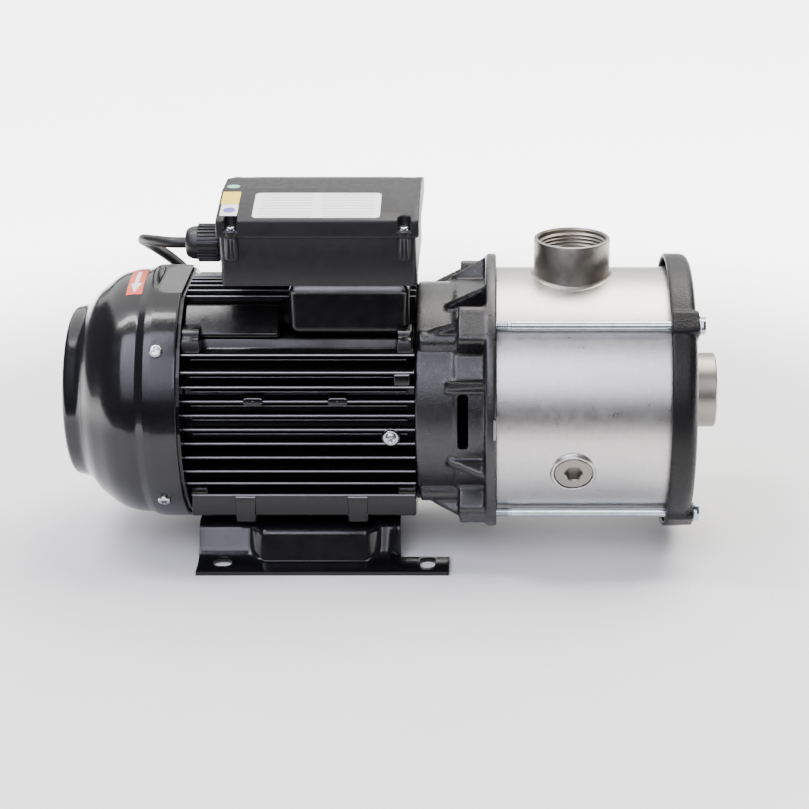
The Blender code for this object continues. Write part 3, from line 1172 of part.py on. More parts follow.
def smooth_points(route, spacing):
    """Points at a steady spacing on a smooth curve through a route's own points."""
    route = [Vector(point) for point in route]
    ends = [2 * route[0] - route[1]] + route + [2 * route[-1] - route[-2]]
    fine = []
    for a, b, c, d in zip(ends, ends[1:], ends[2:], ends[3:]):
        for k in range(40):
            t = k / 40
            fine.append(((2 * b) + (c - a) * t + (2 * a - 5 * b + 4 * c - d) * t * t
                         + (3 * b - a - 3 * c + d) * t ** 3) / 2)
    fine.append(route[-1])
    lengths = [0.0]
    for a, b in zip(fine, fine[1:]):
        lengths.append(lengths[-1] + (b - a).length)
    count = ceil(lengths[-1] / spacing)
    points = []
    place = 0
    for k in range(count):
        target = lengths[-1] * k / count
        while lengths[place + 1] < target:
            place += 1
        share = (target - lengths[place]) / (lengths[place + 1] - lengths[place])
        points.append(fine[place].lerp(fine[place + 1], share))
    points.append(fine[-1])
    return points


def tube(name, points, radius, resolution, material):
    """A round tube with closed ends along a row of points."""
    curve = bpy.data.curves.new(name, "CURVE")
    curve.dimensions = "3D"
    curve.bevel_depth = radius
    curve.bevel_resolution = resolution
    curve.use_fill_caps = True
    spline = curve.splines.new("POLY")
    spline.points.add(len(points) - 1)
    for place, point in zip(spline.points, points):
        place.co = (*point, 1.0)
    piece = bpy.data.objects.new(name, curve)
    piece.location = (0.0, 0.0, SHAFT_HEIGHT)
    bpy.context.scene.collection.objects.link(piece)
    curve.materials.append(material)
    return piece


cord_points = smooth_points(CORD_ROUTE, 5 * CORD_RADIUS)
tube("power_cord", cord_points, CORD_RADIUS, 3, RUBBER)

# Cord coil: two layers that spiral in and out again, climbing where the spiral turns back
half_angle = 2 * pi * COIL_TURNS_PER_LAYER


def coil_point(angle):
    """The coil's middle line, at an angle from where the spiral turns back."""
    radius = COIL_INNER_RADIUS + COIL_SPACING * abs(angle) / (2 * pi)
    share = min(max(angle / pi + 0.5, 0.0), 1.0)
    climb = COIL_SPACING * share * share * (3 - 2 * share)
    heading = angle + half_angle - pi / 2
    return Vector((coil_x + radius * cos(heading), coil_y + radius * sin(heading), coil_low + climb))


coil_steps = round(2 * COIL_TURNS_PER_LAYER * COIL_POINTS_PER_TURN)
coil_points = [coil_point(half_angle * (2 * k / coil_steps - 1)) for k in range(coil_steps + 1)]
coil_points.insert(0, coil_points[0] - Vector((coil_run, 0, 0)))
coil_points.append(coil_points[-1] + Vector((coil_run, 0, 0)))
tube("cord_coil", coil_points, CORD_RADIUS, 1, RUBBER)
cord_length = sum((b - a).length for row in (cord_points, coil_points) for a, b in zip(row, row[1:]))
fine_coil = [coil_point(half_angle * (k / 600 - 1)) for k in range(1201)]
skip = round(300 / COIL_TURNS_PER_LAYER)
least = min((a - b).length for k, a in enumerate(fine_coil) for b in fine_coil[k + skip:])
print(f"cord length {cord_length:.3f} m, coil's least gap to itself {(least - 2 * CORD_RADIUS) * 1000:.2f} mm")

# Cord tie: a band round all the turns on the coil's far side
tie_inner = COIL_INNER_RADIUS - CORD_RADIUS - GAP
tie_outer = coil_outer_radius + CORD_RADIUS + GAP
tie_low = coil_low - CORD_RADIUS - GAP
tie_high = coil_low + COIL_SPACING + CORD_RADIUS + GAP
band = TIE_BAND_THICKNESS
cord_tie = prism("cord_tie", rectangle(tie_inner - band, tie_outer + band, tie_low - band, tie_high + band),
                 -TIE_BAND_WIDTH / 2, TIE_BAND_WIDTH / 2, axis="Y", material=RUBBER)
tie_hollow = prism("tie_hollow", rectangle(tie_inner, tie_outer, tie_low, tie_high), -TIE_BAND_WIDTH, TIE_BAND_WIDTH,
                   axis="Y")
for piece in (cord_tie, tie_hollow):
    piece.data.transform(Matrix.Rotation(radians(TIE_BAND_DEGREES), 4, "Z"))
    shifted(piece, x=coil_x, y=coil_y)
cut(cord_tie, tie_hollow)

# Power plug: a moulded body behind a tapered strain relief, with two round pins
plug_z = coil_low + COIL_SPACING
plug_left = coil_x + coil_run + GAP
body_left = plug_left + PLUG_RELIEF_LENGTH
body_right = body_left + PLUG_BODY_LENGTH
plug_height = 2 * (plug_z - FLOOR - FLOOR_GAP)
power_plug = prism("power_plug", oblong(coil_side, plug_z, PLUG_BODY_WIDTH, plug_height, ROUND_MIDDLE), body_left,
                   body_right, material=RUBBER)
relief = turned("strain_relief", [(plug_left, 0), (plug_left, PLUG_RELIEF_RADII[0]),
                                  (body_left + GAP, PLUG_RELIEF_RADII[1]), (body_left + GAP, 0)], None, ROUND_SMALL)
fuse(power_plug, shifted(relief, y=coil_side, z=plug_z))
for number, side in enumerate(FRONT_AND_REAR, 1):
    pin_y = coil_side + side * PIN_SPACING / 2
    prism(f"plug_pin_{number}", circle(pin_y, plug_z, PIN_RADIUS), body_right - PIN_IN_PLUG, body_right + PIN_LENGTH,
          material=BRASS)
    cut(power_plug, prism("pin_hole", circle(pin_y, plug_z, PIN_RADIUS + GAP), body_right - PIN_IN_PLUG - GAP,
                          body_right + GAP))
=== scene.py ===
"""The looks of a horizontal multistage centrifugal pump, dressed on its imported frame.
Metres, +Z up, +X along the shaft towards the inlet, the floor at Z = 0, the shaft at Z = 0.098."""
from math import atan2, ceil, cos, hypot, pi, radians, sin, sqrt, tan

import bmesh
import bpy
from mathutils import Matrix, Vector


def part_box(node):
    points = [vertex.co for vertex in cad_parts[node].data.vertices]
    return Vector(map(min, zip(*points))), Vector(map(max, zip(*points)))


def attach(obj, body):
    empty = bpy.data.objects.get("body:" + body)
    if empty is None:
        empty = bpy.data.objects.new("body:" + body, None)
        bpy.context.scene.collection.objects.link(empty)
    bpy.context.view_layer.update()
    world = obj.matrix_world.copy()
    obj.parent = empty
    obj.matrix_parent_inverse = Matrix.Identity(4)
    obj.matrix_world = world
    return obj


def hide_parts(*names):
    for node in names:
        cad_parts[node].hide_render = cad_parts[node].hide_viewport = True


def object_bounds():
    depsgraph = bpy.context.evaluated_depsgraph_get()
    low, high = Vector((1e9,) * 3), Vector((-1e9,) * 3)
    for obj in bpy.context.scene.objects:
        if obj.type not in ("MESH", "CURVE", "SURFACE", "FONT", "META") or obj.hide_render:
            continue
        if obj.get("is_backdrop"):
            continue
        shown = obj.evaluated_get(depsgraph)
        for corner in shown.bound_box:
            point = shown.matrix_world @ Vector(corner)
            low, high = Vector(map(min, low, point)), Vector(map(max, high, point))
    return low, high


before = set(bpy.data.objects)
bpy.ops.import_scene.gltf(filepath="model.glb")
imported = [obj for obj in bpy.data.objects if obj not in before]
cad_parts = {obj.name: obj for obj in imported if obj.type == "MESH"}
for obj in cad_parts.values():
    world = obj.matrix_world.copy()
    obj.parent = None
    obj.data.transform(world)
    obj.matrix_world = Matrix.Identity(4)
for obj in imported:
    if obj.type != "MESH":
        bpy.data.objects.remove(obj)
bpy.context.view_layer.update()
scene = bpy.context.scene
shaft_z = 0.098

# Studio: a pale paper floor that ends in front of the pump on a dark carpet, soft boxes overhead and either side of
# the lens, a bright strip over the cowl, and a long lens that looks down on the pump's front.
paper_front, paper_back, carpet_front, carpet_back, carpet_z, floor_half = -0.352, 14, -7, -0.34, -0.001, 9
pulp_mm, glow_start, glow_full, glow_level, pile_mm, room_level = 40.0, 0.36, 0.75, 4.0, 5.0, 0.14


def put(name, data):
    """A new object in the scene."""
    item = bpy.data.objects.new(name, data)
    scene.collection.objects.link(item)
    return item


def ground(name, front, back, z):
    """A flat sheet that belongs to the stage."""
    mesh = bpy.data.meshes.new(name)
    mesh.from_pydata([(-floor_half, front, z), (floor_half, front, z), (floor_half, back, z), (-floor_half, back, z)],
                     [], [range(4)])
    put(name, mesh)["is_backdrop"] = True
    return mesh


def linear(hex_colour):
    """An sRGB hex colour as linear red, green, blue and alpha."""
    parts = [int(hex_colour[k:k + 2], 16) / 255 for k in (0, 2, 4)]
    return [p / 12.92 if p <= 0.04045 else ((p + 0.055) / 1.055) ** 2.4 for p in parts] + [1.0]


def wire(tree, node, inputs):
    """Set a node's inputs. Each is a value, or another node's output to link to it."""
    for key, value in inputs.items():
        if isinstance(value, bpy.types.NodeSocket):
            tree.links.new(value, node.inputs[key])
        else:
            node.inputs[key].default_value = value


def add(tree, kind, settings, inputs):
    """A node with its settings and inputs."""
    node = tree.nodes.new(kind)
    for key, value in settings.items():
        setattr(node, key, value)
    wire(tree, node, inputs)
    return node


def started(name, sockets):
    """A material with its shader's own numbers and colours set: its tree, its shader and its Object coordinates."""
    material = bpy.data.materials.new(name)
    material.use_nodes = True
    tree = material.node_tree
    shader = tree.nodes["Principled BSDF"]
    wire(tree, shader, sockets)
    return material, tree, shader, tree.nodes.new("ShaderNodeTexCoord").outputs["Object"]


# Matt backdrop paper: an even white with the faint mottle of its pulp, and a painted glow: away from the pump
# the paper gives off light of its own, so that it fades to white
floor_paper, tree, shader, place = started("backdrop_paper", {"Roughness": 0.9, "Emission Color": linear("ffffff")})
pulp = add(tree, "ShaderNodeTexNoise", {}, {"Vector": place, "Scale": 1000 / pulp_mm, "Detail": 2.0})
tint = add(tree, "ShaderNodeMix", {"data_type": "RGBA"},
           {0: pulp.outputs["Fac"], 6: linear("f6f6f6"), 7: linear("fbfbfb")})
# Painted glow: the paper's own light grows with its distance from the pump
away = add(tree, "ShaderNodeVectorMath", {"operation": "LENGTH"}, {0: place})
glow = add(tree, "ShaderNodeMapRange", {"interpolation_type": "SMOOTHSTEP"},
           {"Value": away.outputs["Value"], "From Min": glow_start, "From Max": glow_full, "To Max": glow_level})
wire(tree, shader, {"Base Color": tint.outputs[2], "Emission Strength": glow.outputs["Result"]})
ground("paper_floor", paper_front, paper_back, 0).materials.append(floor_paper)
# Dark carpet: near black with a short pile, so that what faces the lens stays dark
carpet_pile, tree, shader, place = started("dark_carpet", {"Roughness": 0.95})
pile = add(tree, "ShaderNodeTexNoise", {}, {"Vector": place, "Scale": 1000 / pile_mm})
tint = add(tree, "ShaderNodeMix", {"data_type": "RGBA"},
           {0: pile.outputs["Fac"], 6: linear("121213"), 7: linear("222224")})
wire(tree, shader, {"Base Color": tint.outputs[2]})
ground("dark_carpet", carpet_front, carpet_back, carpet_z).materials.append(carpet_pile)

room = bpy.data.worlds.new("dim_room")
room.use_nodes = True
wire(room.node_tree, room.node_tree.nodes["Background"], {"Color": linear("f6f6fc"), "Strength": room_level})
scene.world = room


def soft_box(name, place, width, height, radiance, colour, near=1.0, far=1.0, hem=0.10):
    """An area light along the shaft that faces it: its place, its size and how bright its cloth looks.
    Its cloth fades from one level at its lower front edge to another at its far edge, and out in a hem all round."""
    light = bpy.data.lights.new(name, "AREA")
    light.shape = "RECTANGLE"
    light.size, light.size_y = width, height
    light.energy = radiance * pi * width * height
    light.color = linear(colour)[:3]
    light.use_nodes = True
    cloth = light.node_tree
    spot = cloth.nodes.new("ShaderNodeNewGeometry").outputs["Parametric"]
    across = add(cloth, "ShaderNodeSeparateXYZ", {}, {0: spot})
    level = add(cloth, "ShaderNodeMapRange", {}, {"Value": across.outputs["Y"], "To Min": near, "To Max": far})
    for way in ("X", "Y"):
        off = add(cloth, "ShaderNodeMath", {"operation": "SUBTRACT"}, {0: across.outputs[way], 1: 0.5})
        side = add(cloth, "ShaderNodeMath", {"operation": "ABSOLUTE"}, {0: off.outputs[0]})
        fade = add(cloth, "ShaderNodeMapRange", {"interpolation_type": "SMOOTHSTEP"},
                   {"Value": side.outputs[0], "From Min": 0.5, "From Max": 0.5 - hem})
        level = add(cloth, "ShaderNodeMath", {"operation": "MULTIPLY"}, {0: level.outputs[0], 1: fade.outputs[0]})
    wire(cloth, cloth.nodes["Emission"], {"Strength": level.outputs[0]})
    lamp = put(name, light)
    lamp.location = place
    lamp.rotation_euler = (atan2(-place[1], place[2] - shaft_z), 0.0, 0.0)


soft_box("ceiling_box", (0.0, 1.97, 2.32), 6.0, 4.90, 2.7, "ffffff", 1.0, 0.62, 0.05)
soft_box("barrel_box", (0.70, 0.42, 1.62), 1.60, 1.50, 7.4, "fffaf2")
soft_box("cowl_strip", (-0.72, -0.03, 1.60), 0.80, 0.16, 36.0, "ffffff", hem=0.06)
soft_box("front_box", (-0.76, -1.20, 1.16), 0.80, 2.06, 11.0, "ecebff", 0.04, 1.0, 0.07)
soft_box("foot_box", (-0.27, -1.47, 1.13), 0.24, 0.96, 8.0, "ecebff")
soft_box("right_box", (0.20, -1.46, 1.06), 0.50, 1.40, 6.0, "f4f3ff", 0.6)

lens_x, lens_pitch, lens_away, lens_drop = 0.06415, radians(20.9), 1.359, 0.0097
camera_data = bpy.data.cameras.new("camera")
camera_data.lens, camera_data.shift_x = 93.4, -0.1119
camera_data.clip_start, camera_data.clip_end = 0.05, 60.0
camera = put("camera", camera_data)
camera.location = (lens_x, -lens_away * cos(lens_pitch) - lens_drop * sin(lens_pitch),
                   shaft_z + lens_away * sin(lens_pitch) - lens_drop * cos(lens_pitch))
camera.rotation_euler = (pi / 2 - lens_pitch, 0.0, 0.0)
scene.camera = camera

# Power cord: a black PVC-sheathed lead, 7.1 mm thick and 1.54 m long, clamped in the box's gland. It turns back
# behind the cowl and goes down the pump's rear to the floor, where the rest is wound up and tied.
cord_radius = 0.00355
gland_mouth, gland_z = -0.1302, shaft_z + 0.0990
coil_x, coil_y, coil_z = -0.0620, 0.1500, shaft_z - 0.09305
coil_inner, coil_spacing, coil_turns, coil_run = 0.0290, 0.0076, 2.5, 0.0071
cord_points = [(gland_mouth + x, y, gland_z + z) for x, y, z in (
    (0.0180, 0.0, 0.0), (0.0, 0.0, 0.0), (-0.0100, 0.0011, -0.0002), (-0.0206, 0.0070, -0.0010),
    (-0.0284, 0.0163, -0.0030), (-0.0321, 0.0280, -0.0065), (-0.0312, 0.0402, -0.0120), (-0.0262, 0.0509, -0.0197),
    (-0.0190, 0.0600, -0.0290))]
cord_points += [(x, y, shaft_z + z) for x, y, z in (
    (-0.1415, 0.0683, 0.0585), (-0.1345, 0.0762, 0.0440), (-0.1290, 0.0832, 0.0260), (-0.1255, 0.0893, 0.0040),
    (-0.1235, 0.0940, -0.0200), (-0.1220, 0.0975, -0.0420), (-0.1186, 0.1000, -0.0610), (-0.1112, 0.1014, -0.0770),
    (-0.0998, 0.1020, -0.08765), (-0.0855, 0.1020, -0.09295))]


def clamp(value):
    """A value held between 0 and 1."""
    return min(max(value, 0.0), 1.0)


def ease(value, start, end):
    """A smooth step from 0 to 1."""
    share = clamp((value - start) / (end - start))
    return share * share * (3 - 2 * share)


half_angle = 2 * pi * coil_turns
coil_points = []
for k in range(121):
    angle = half_angle * (k / 60 - 1)
    radius = coil_inner + coil_spacing * abs(angle) / (2 * pi)
    heading = angle + half_angle - pi / 2
    coil_points.append((coil_x + radius * cos(heading), coil_y + radius * sin(heading),
                        coil_z + coil_spacing * ease(angle, -pi / 2, pi / 2)))
first, last = coil_points[0], coil_points[-1]
cord_points += [(first[0] - coil_run, *first[1:])] + coil_points + [(last[0] + coil_run, *last[1:])]
cord_curve = bpy.data.curves.new("power_lead", "CURVE")
cord_curve.dimensions = "3D"
cord_curve.resolution_u = 6
cord_curve.bevel_depth, cord_curve.bevel_resolution = cord_radius, 4
cord_curve.use_fill_caps = True
spline = cord_curve.splines.new("BEZIER")
spline.bezier_points.add(len(cord_points) - 1)
for knot, point in zip(spline.bezier_points, cord_points):
    knot.co = point
    knot.handle_left_type = knot.handle_right_type = "AUTO"
power_lead = put("power_lead", cord_curve)


def speckled(name, sockets, tones, tone_mm, rough, rough_mm, grain_mm, grain_depth, edge_highlight=None):
    """A material whose colour drifts between two tones, whose gloss drifts, and whose skin has a fine grain.
    The sizes are in millimetres, and the grain's depth is in metres. The third tone is a painted highlight, laid on
    the upper edges that a piece marks."""
    material, tree, shader, place = started(name, sockets)
    drift = add(tree, "ShaderNodeTexNoise", {}, {"Vector": place, "Scale": 1000 / tone_mm, "Detail": 3.0})
    tone = add(tree, "ShaderNodeMix", {"data_type": "RGBA"},
               {0: drift.outputs["Fac"], 6: linear(tones[0]), 7: linear(tones[1])})
    # Painted highlight: a paler third tone where the piece marks its upper edges
    if edge_highlight:
        edges = add(tree, "ShaderNodeAttribute", {"attribute_name": "edge_highlight"}, {})
        tone = add(tree, "ShaderNodeMix", {"data_type": "RGBA"},
                   {0: edges.outputs["Fac"], 6: tone.outputs[2], 7: linear(edge_highlight)})
    wear = add(tree, "ShaderNodeTexNoise", {}, {"Vector": place, "Scale": 1000 / rough_mm, "Detail": 3.0})
    gloss = add(tree, "ShaderNodeMapRange", {}, {"Value": wear.outputs["Fac"], "From Min": 0.3, "From Max": 0.7,
                                                 "To Min": rough[0], "To Max": rough[1]})
    grain = add(tree, "ShaderNodeTexNoise", {}, {"Vector": place, "Scale": 1000 / grain_mm, "Detail": 2.0})
    skin = add(tree, "ShaderNodeBump", {}, {"Height": grain.outputs["Fac"], "Distance": grain_depth})
    wire(tree, shader, {"Base Color": tone.outputs[2], "Roughness": gloss.outputs["Result"],
                        "Normal": skin.outputs["Normal"]})
    return material


# Extruded black PVC: a soft dull shine, faintly uneven from the die
lead_pvc = speckled("black_pvc_sheath", {"IOR": 1.53}, ("0d0d0e", "161617"), 9.0, (0.34, 0.48), 6.0, 0.9, 0.00004)
cord_curve.materials.append(lead_pvc)
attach(power_lead, "pump_body")
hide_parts("power_cord", "cord_coil")

# Plug, pins and tie: a two-pin plug moulded in one with a ribbed strain relief, its nickel-plated pins,
# and the strap round the coil. The plug lies on the floor beside the coil.
plug_y, plug_z = 0.1020, coil_z + coil_spacing
plug_left, body_left, body_right = -0.0546, -0.0166, 0.0214
plug_half_width, plug_half_height, neck_radius = 0.0180, plug_z - 0.0001, 0.0066


def loose(name, bm):
    """A plain piece from a bmesh, its faces turned outwards, with no finish and no body yet."""
    bmesh.ops.recalc_face_normals(bm, faces=bm.faces)
    mesh = bpy.data.meshes.new(name)
    bm.to_mesh(mesh)
    bm.free()
    return put(name, mesh)


def dressed(piece, material, replaced=(), smooth=32.0, body="pump_body"):
    mesh = piece.data
    mesh.materials.clear()
    mesh.materials.append(material)
    mesh.polygons.foreach_set("use_smooth", [True] * len(mesh.polygons))
    mesh.polygons.foreach_set("material_index", [0] * len(mesh.polygons))
    mesh.set_sharp_from_angle(angle=radians(smooth))
    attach(piece, body)
    if replaced:
        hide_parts(*replaced)
    return piece


def lofted(bm, rings, capped=True):
    """A skin over closed rings of points, all with the same count."""
    rows = [[bm.verts.new(point) for point in ring] for ring in rings]
    for row, after in zip(rows, rows[1:]):
        for k in range(len(row)):
            bm.faces.new((row[k], row[k - 1], after[k - 1], after[k]))
    if capped:
        bm.faces.new(rows[0])
        bm.faces.new(list(reversed(rows[-1])))


def plug_ring(x, half_width, half_height, power):
    """A superellipse round the plug's axis: power 2 is an ellipse, and more is squarer."""
    ring = []
    for k in range(48):
        c, s = cos(2 * pi * k / 48), sin(2 * pi * k / 48)
        ring.append((x, plug_y + half_width * abs(c) ** (2 / power) * (1 if c > 0 else -1),
                     plug_z + half_height * abs(s) ** (2 / power) * (1 if s > 0 else -1)))
    return ring


rings = []
for k in range(57):
    share = k / 56
    rib = 0.0005 * (0.5 + 0.5 * cos(2 * pi * 9 * share))
    girth = 0.0044 + 0.0014 * share + rib
    rings.append(plug_ring(plug_left + (body_left - plug_left) * share, girth, girth, 2.0))
for k in range(1, 25):
    share = k / 24
    swell = 1 - (1 - min(share / 0.45, 1.0)) ** 2
    tuck = 0.0016 * max(0.0, (share - 0.94) / 0.06) ** 2
    rings.append(plug_ring(body_left + (body_right - body_left) * share,
                           neck_radius + (plug_half_width - neck_radius) * swell - tuck,
                           neck_radius + (plug_half_height - neck_radius) * swell - tuck, 2.0 + 2.4 * swell))
bm = bmesh.new()
lofted(bm, rings)
plug_body = dressed(loose("plug_body", bm), lead_pvc, ["power_plug"], 40.0)


def lathe(bm, profile, steps=96, place=Matrix()):
    """A turned shape round X from a row of (x, radius) points. A radius of 0 closes it to a point."""
    rows = []
    for x, r in profile:
        count = steps if r > 0 else 1
        rows.append([bm.verts.new(place @ Vector((x, -r * cos(2 * pi * k / steps), r * sin(2 * pi * k / steps))))
                     for k in range(count)])
    for row, after in zip(rows, rows[1:]):
        for k in range(steps):
            ring = [row[k % len(row)], after[k % len(after)], after[(k + 1) % len(after)], row[(k + 1) % len(row)]]
            face = [vert for n, vert in enumerate(ring) if vert not in ring[:n]]
            if len(face) > 2:
                bm.faces.new(face)


def welded(name, bm):
    """A loose piece whose points that lie on each other are made one."""
    bmesh.ops.remove_doubles(bm, verts=bm.verts, dist=0.000001)
    return loose(name, bm)


def turned(name, profile, steps=96, place=Matrix()):
    """A loose piece with one turned shape."""
    bm = bmesh.new()
    lathe(bm, profile, steps, place)
    return welded(name, bm)


# Nickel on brass: bright and warm, worn a little duller where the pins rub
plug_nickel = speckled("nickel_on_brass", {"Metallic": 1.0}, ("b9b2a2", "d2ccbe"), 4.0, (0.16, 0.30), 2.0, 0.6,
                       0.00001)
# The pins end 8 mm short of the CAD model's
prong_profile = [(0.0134, 0.0), (0.0134, 0.0024), (0.0310, 0.0024), (0.0318, 0.0020), (0.0322, 0.0012), (0.0324, 0.0)]
for number in (1, 2):
    low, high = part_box(f"plug_pin_{number}")
    prong = turned(f"plug_prong_{number}", prong_profile, 24,
                   Matrix.Translation((0.0, (low[1] + high[1]) / 2, plug_z)))
    dressed(prong, plug_nickel, [f"plug_pin_{number}"])

# Nylon strap: dark and slightly waxy, with a moulded fine grain
strap_nylon = speckled("black_nylon_strap", {"IOR": 1.53}, ("121213", "1b1b1c"), 5.0, (0.42, 0.55), 3.0, 0.7, 0.00005)


def refinished(material, *names):
    """Give CAD nodes that keep their own shape a finish."""
    for name in names:
        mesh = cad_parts[name].data
        mesh.materials.clear()
        mesh.materials.append(material)


refinished(strap_nylon, "cord_tie")

# Fan cowl: deep-drawn sheet steel in gloss black enamel, with a stepped nose, a rolled rim band that has a flat
# pressed into its top, and a grille of slots in the nose. Four screws hold it to the rear end shield.
nose_x, rim_x = -0.2057, -0.1308
cowl_wall = 0.0018
flat_left, flat_half_width, flat_corner, flat_z = -0.1490, 0.0310, 0.0110, 0.0752
flat_out, flat_in = 0.0015, -0.0035
grille_outer, slot_count = 0.0500, 14
on_shaft = Matrix.Translation((0, 0, shaft_z))


def rounded(points, radius, steps=5, closed=False):
    """A flat path with its corners turned into arcs: one radius for all, or a list with one for each."""
    points = [Vector(point) for point in points]
    radii = radius if isinstance(radius, (list, tuple)) else [radius] * len(points)
    path = []
    for k, corner in enumerate(points):
        ends = not closed and k in (0, len(points) - 1)
        back, ahead = points[k - 1] - corner, points[(k + 1) % len(points)] - corner
        if ends or radii[k] <= 0 or back.angle(ahead) > pi - 0.02:
            path.append(corner)
            continue
        half = back.angle(ahead) / 2
        reach = min(radii[k] / tan(half), 0.49 * min(back.length, ahead.length))
        back.normalize()
        ahead.normalize()
        centre = corner + (back + ahead).normalized() * reach / cos(half)
        first, last = corner + back * reach - centre, corner + ahead * reach - centre
        sweep = first.angle(last)
        for j in range(steps + 1):
            share = j / steps
            path.append(centre + (first * sin((1 - share) * sweep) + last * sin(share * sweep)) / sin(sweep))
    return path


def spread(path, spacing):
    """The same path with more points on its long stretches."""
    fine = [path[0]]
    for before, after in zip(path, path[1:]):
        count = max(1, ceil((after - before).length / spacing))
        fine += [before.lerp(after, k / count) for k in range(1, count + 1)]
    return fine


cowl_steps = 480
outer = spread(rounded([(nose_x, 0.0470), (nose_x, 0.0536), (-0.1950, 0.0560), (-0.1875, 0.0655), (-0.1740, 0.0757),
                        (-0.1630, 0.0784), (-0.1562, 0.0786), (-0.1512, 0.0806), (-0.1470, 0.0812), (rim_x, 0.0812),
                        (rim_x, 0.0794)], [0, 0.0035, 0.0075, 0.030, 0.030, 0.040, 0.0055, 0.0055, 0.0060, 0.0008, 0],
                       9), 0.0009)
inner = spread(rounded([(rim_x, 0.0794), (-0.1470, 0.0794), (-0.1512, 0.0788), (-0.1562, 0.0768), (-0.1630, 0.0766),
                        (-0.1735, 0.0740), (-0.1860, 0.0642), (-0.1935, 0.0546), (nose_x + cowl_wall, 0.0520),
                        (nose_x + cowl_wall, 0.0470), (nose_x, 0.0470)], 0.004, 2), 0.0030)[1:]
bm = bmesh.new()
lathe(bm, outer + inner, cowl_steps, on_shaft)
for number, vert in enumerate(bm.verts):
    height = vert.co.z - shaft_z
    floor_height = flat_z if number < len(outer) * cowl_steps else flat_z - cowl_wall
    if height < floor_height:
        continue
    over_x = flat_left + flat_corner - vert.co.x
    over_y = abs(vert.co.y) - flat_half_width + flat_corner
    outside = hypot(max(over_x, 0.0), max(over_y, 0.0)) - flat_corner + min(max(over_x, over_y), 0.0)
    vert.co.z -= (height - floor_height) * ease(outside, flat_out, flat_in)
cowl_shell = welded("cowl_shell", bm)


def baked(piece):
    """The piece with its modifiers made a plain mesh."""
    bpy.context.view_layer.update()
    mesh = bpy.data.meshes.new_from_object(piece.evaluated_get(bpy.context.evaluated_depsgraph_get()))
    piece.modifiers.clear()
    piece.data = mesh
    return piece


def blended(bm, own):
    """Put one bmesh's shape into another."""
    mesh = bpy.data.meshes.new("blended")
    own.to_mesh(mesh)
    own.free()
    bm.from_mesh(mesh)
    bpy.data.meshes.remove(mesh)


def prism(bm, outline, low, high, axis="X", edge=0.0, segments=2, place=Matrix()):
    """A straight piece with an outline across X, Y or Z, its sharp edges rounded by an edge radius, put in place."""
    own = bmesh.new()
    turn = {"X": lambda u, v, w: (w, u, v), "Y": lambda u, v, w: (u, w, v), "Z": lambda u, v, w: (u, v, w)}[axis]
    lofted(own, [[turn(u, v, w) for u, v in outline] for w in (low, high)])
    bmesh.ops.recalc_face_normals(own, faces=own.faces)
    if edge:
        sharp = [e for e in own.edges if e.calc_face_angle(0.0) > radians(30)]
        bmesh.ops.bevel(own, geom=sharp, offset=edge, segments=segments, profile=0.5, affect="EDGES",
                        clamp_overlap=True)
    own.transform(place)
    blended(bm, own)


def new_tree(name, inputs):
    """A Geometry Nodes tree with (label, kind) inputs and one output, and what its input node gives."""
    tree = bpy.data.node_groups.new(name, "GeometryNodeTree")
    for label, kind in inputs:
        tree.interface.new_socket(label, in_out="INPUT", socket_type="NodeSocket" + kind)
    tree.interface.new_socket("Geometry", in_out="OUTPUT", socket_type="NodeSocketGeometry")
    return tree, tree.nodes.new("NodeGroupInput").outputs


def end_tree(tree, geometry, finish):
    """The last nodes of a tree: instances made real, their finish, and the way out."""
    real = add(tree, "GeometryNodeRealizeInstances", {}, {"Geometry": geometry})
    coated = add(tree, "GeometryNodeSetMaterial", {}, {"Geometry": real.outputs["Geometry"], "Material": finish})
    add(tree, "NodeGroupOutput", {}, {"Geometry": coated.outputs["Geometry"]})


def grown(name, mesh, tree, values):
    """A plain mesh object that a tree makes from a mesh and from values for its inputs."""
    piece = put(name, mesh)
    modifier = piece.modifiers.new(name, "NODES")
    modifier.node_group = tree
    for item in tree.interface.items_tree:
        if item.in_out == "INPUT" and item.name in values:
            modifier[item.identifier] = values[item.name]
    return baked(piece)


# A tree that puts a copy of a template on each point of a mesh, turned and stretched as the point says
repeat_tree, given = new_tree("repeat_on_points", (("Points", "Geometry"), ("Template", "Object"),
                                                   ("Finish", "Material")))
facing, stretch = (add(repeat_tree, "GeometryNodeInputNamedAttribute", {"data_type": "FLOAT_VECTOR"}, {"Name": key})
                   for key in ("facing", "stretch"))
turned_to = add(repeat_tree, "FunctionNodeEulerToRotation", {}, {0: facing.outputs["Attribute"]})
template = add(repeat_tree, "GeometryNodeObjectInfo", {}, {"Object": given["Template"], "As Instance": True})
copies = add(repeat_tree, "GeometryNodeInstanceOnPoints", {},
             {"Points": given["Points"], "Instance": template.outputs["Geometry"],
              "Rotation": turned_to.outputs[0], "Scale": stretch.outputs["Attribute"]})
end_tree(repeat_tree, copies.outputs["Instances"], given["Finish"])


def repeated(name, template, material, points, turns=None, stretches=None):
    """Copies of a template's bmesh on points, with a turn and a stretch for each, as one plain mesh object."""
    sample = loose(name + "_template", template)
    mesh = bpy.data.meshes.new(name)
    mesh.from_pydata(points, [], [])
    for key, rows in (("facing", turns or [(0.0, 0.0, 0.0)] * len(points)),
                      ("stretch", stretches or [(1.0, 1.0, 1.0)] * len(points))):
        values = mesh.attributes.new(key, "FLOAT_VECTOR", "POINT")
        values.data.foreach_set("vector", [x for row in rows for x in row])
    piece = grown(name, mesh, repeat_tree, {"Template": sample, "Finish": material})
    bpy.data.objects.remove(sample)
    return piece


# Stove enamel on drawn steel: deep gloss black with a faint orange peel, a touch greyer where it is thin
cowl_enamel = speckled("black_stove_enamel", {"IOR": 1.38, "Coat Weight": 0.25, "Coat Roughness": 0.05},
                       ("0e0e10", "17171a"), 45.0, (0.15, 0.24), 14.0, 2.2, 0.00006)


def oblong(left, right, low, high):
    """The corners of a rectangle."""
    return [(left, low), (right, low), (right, high), (left, high)]


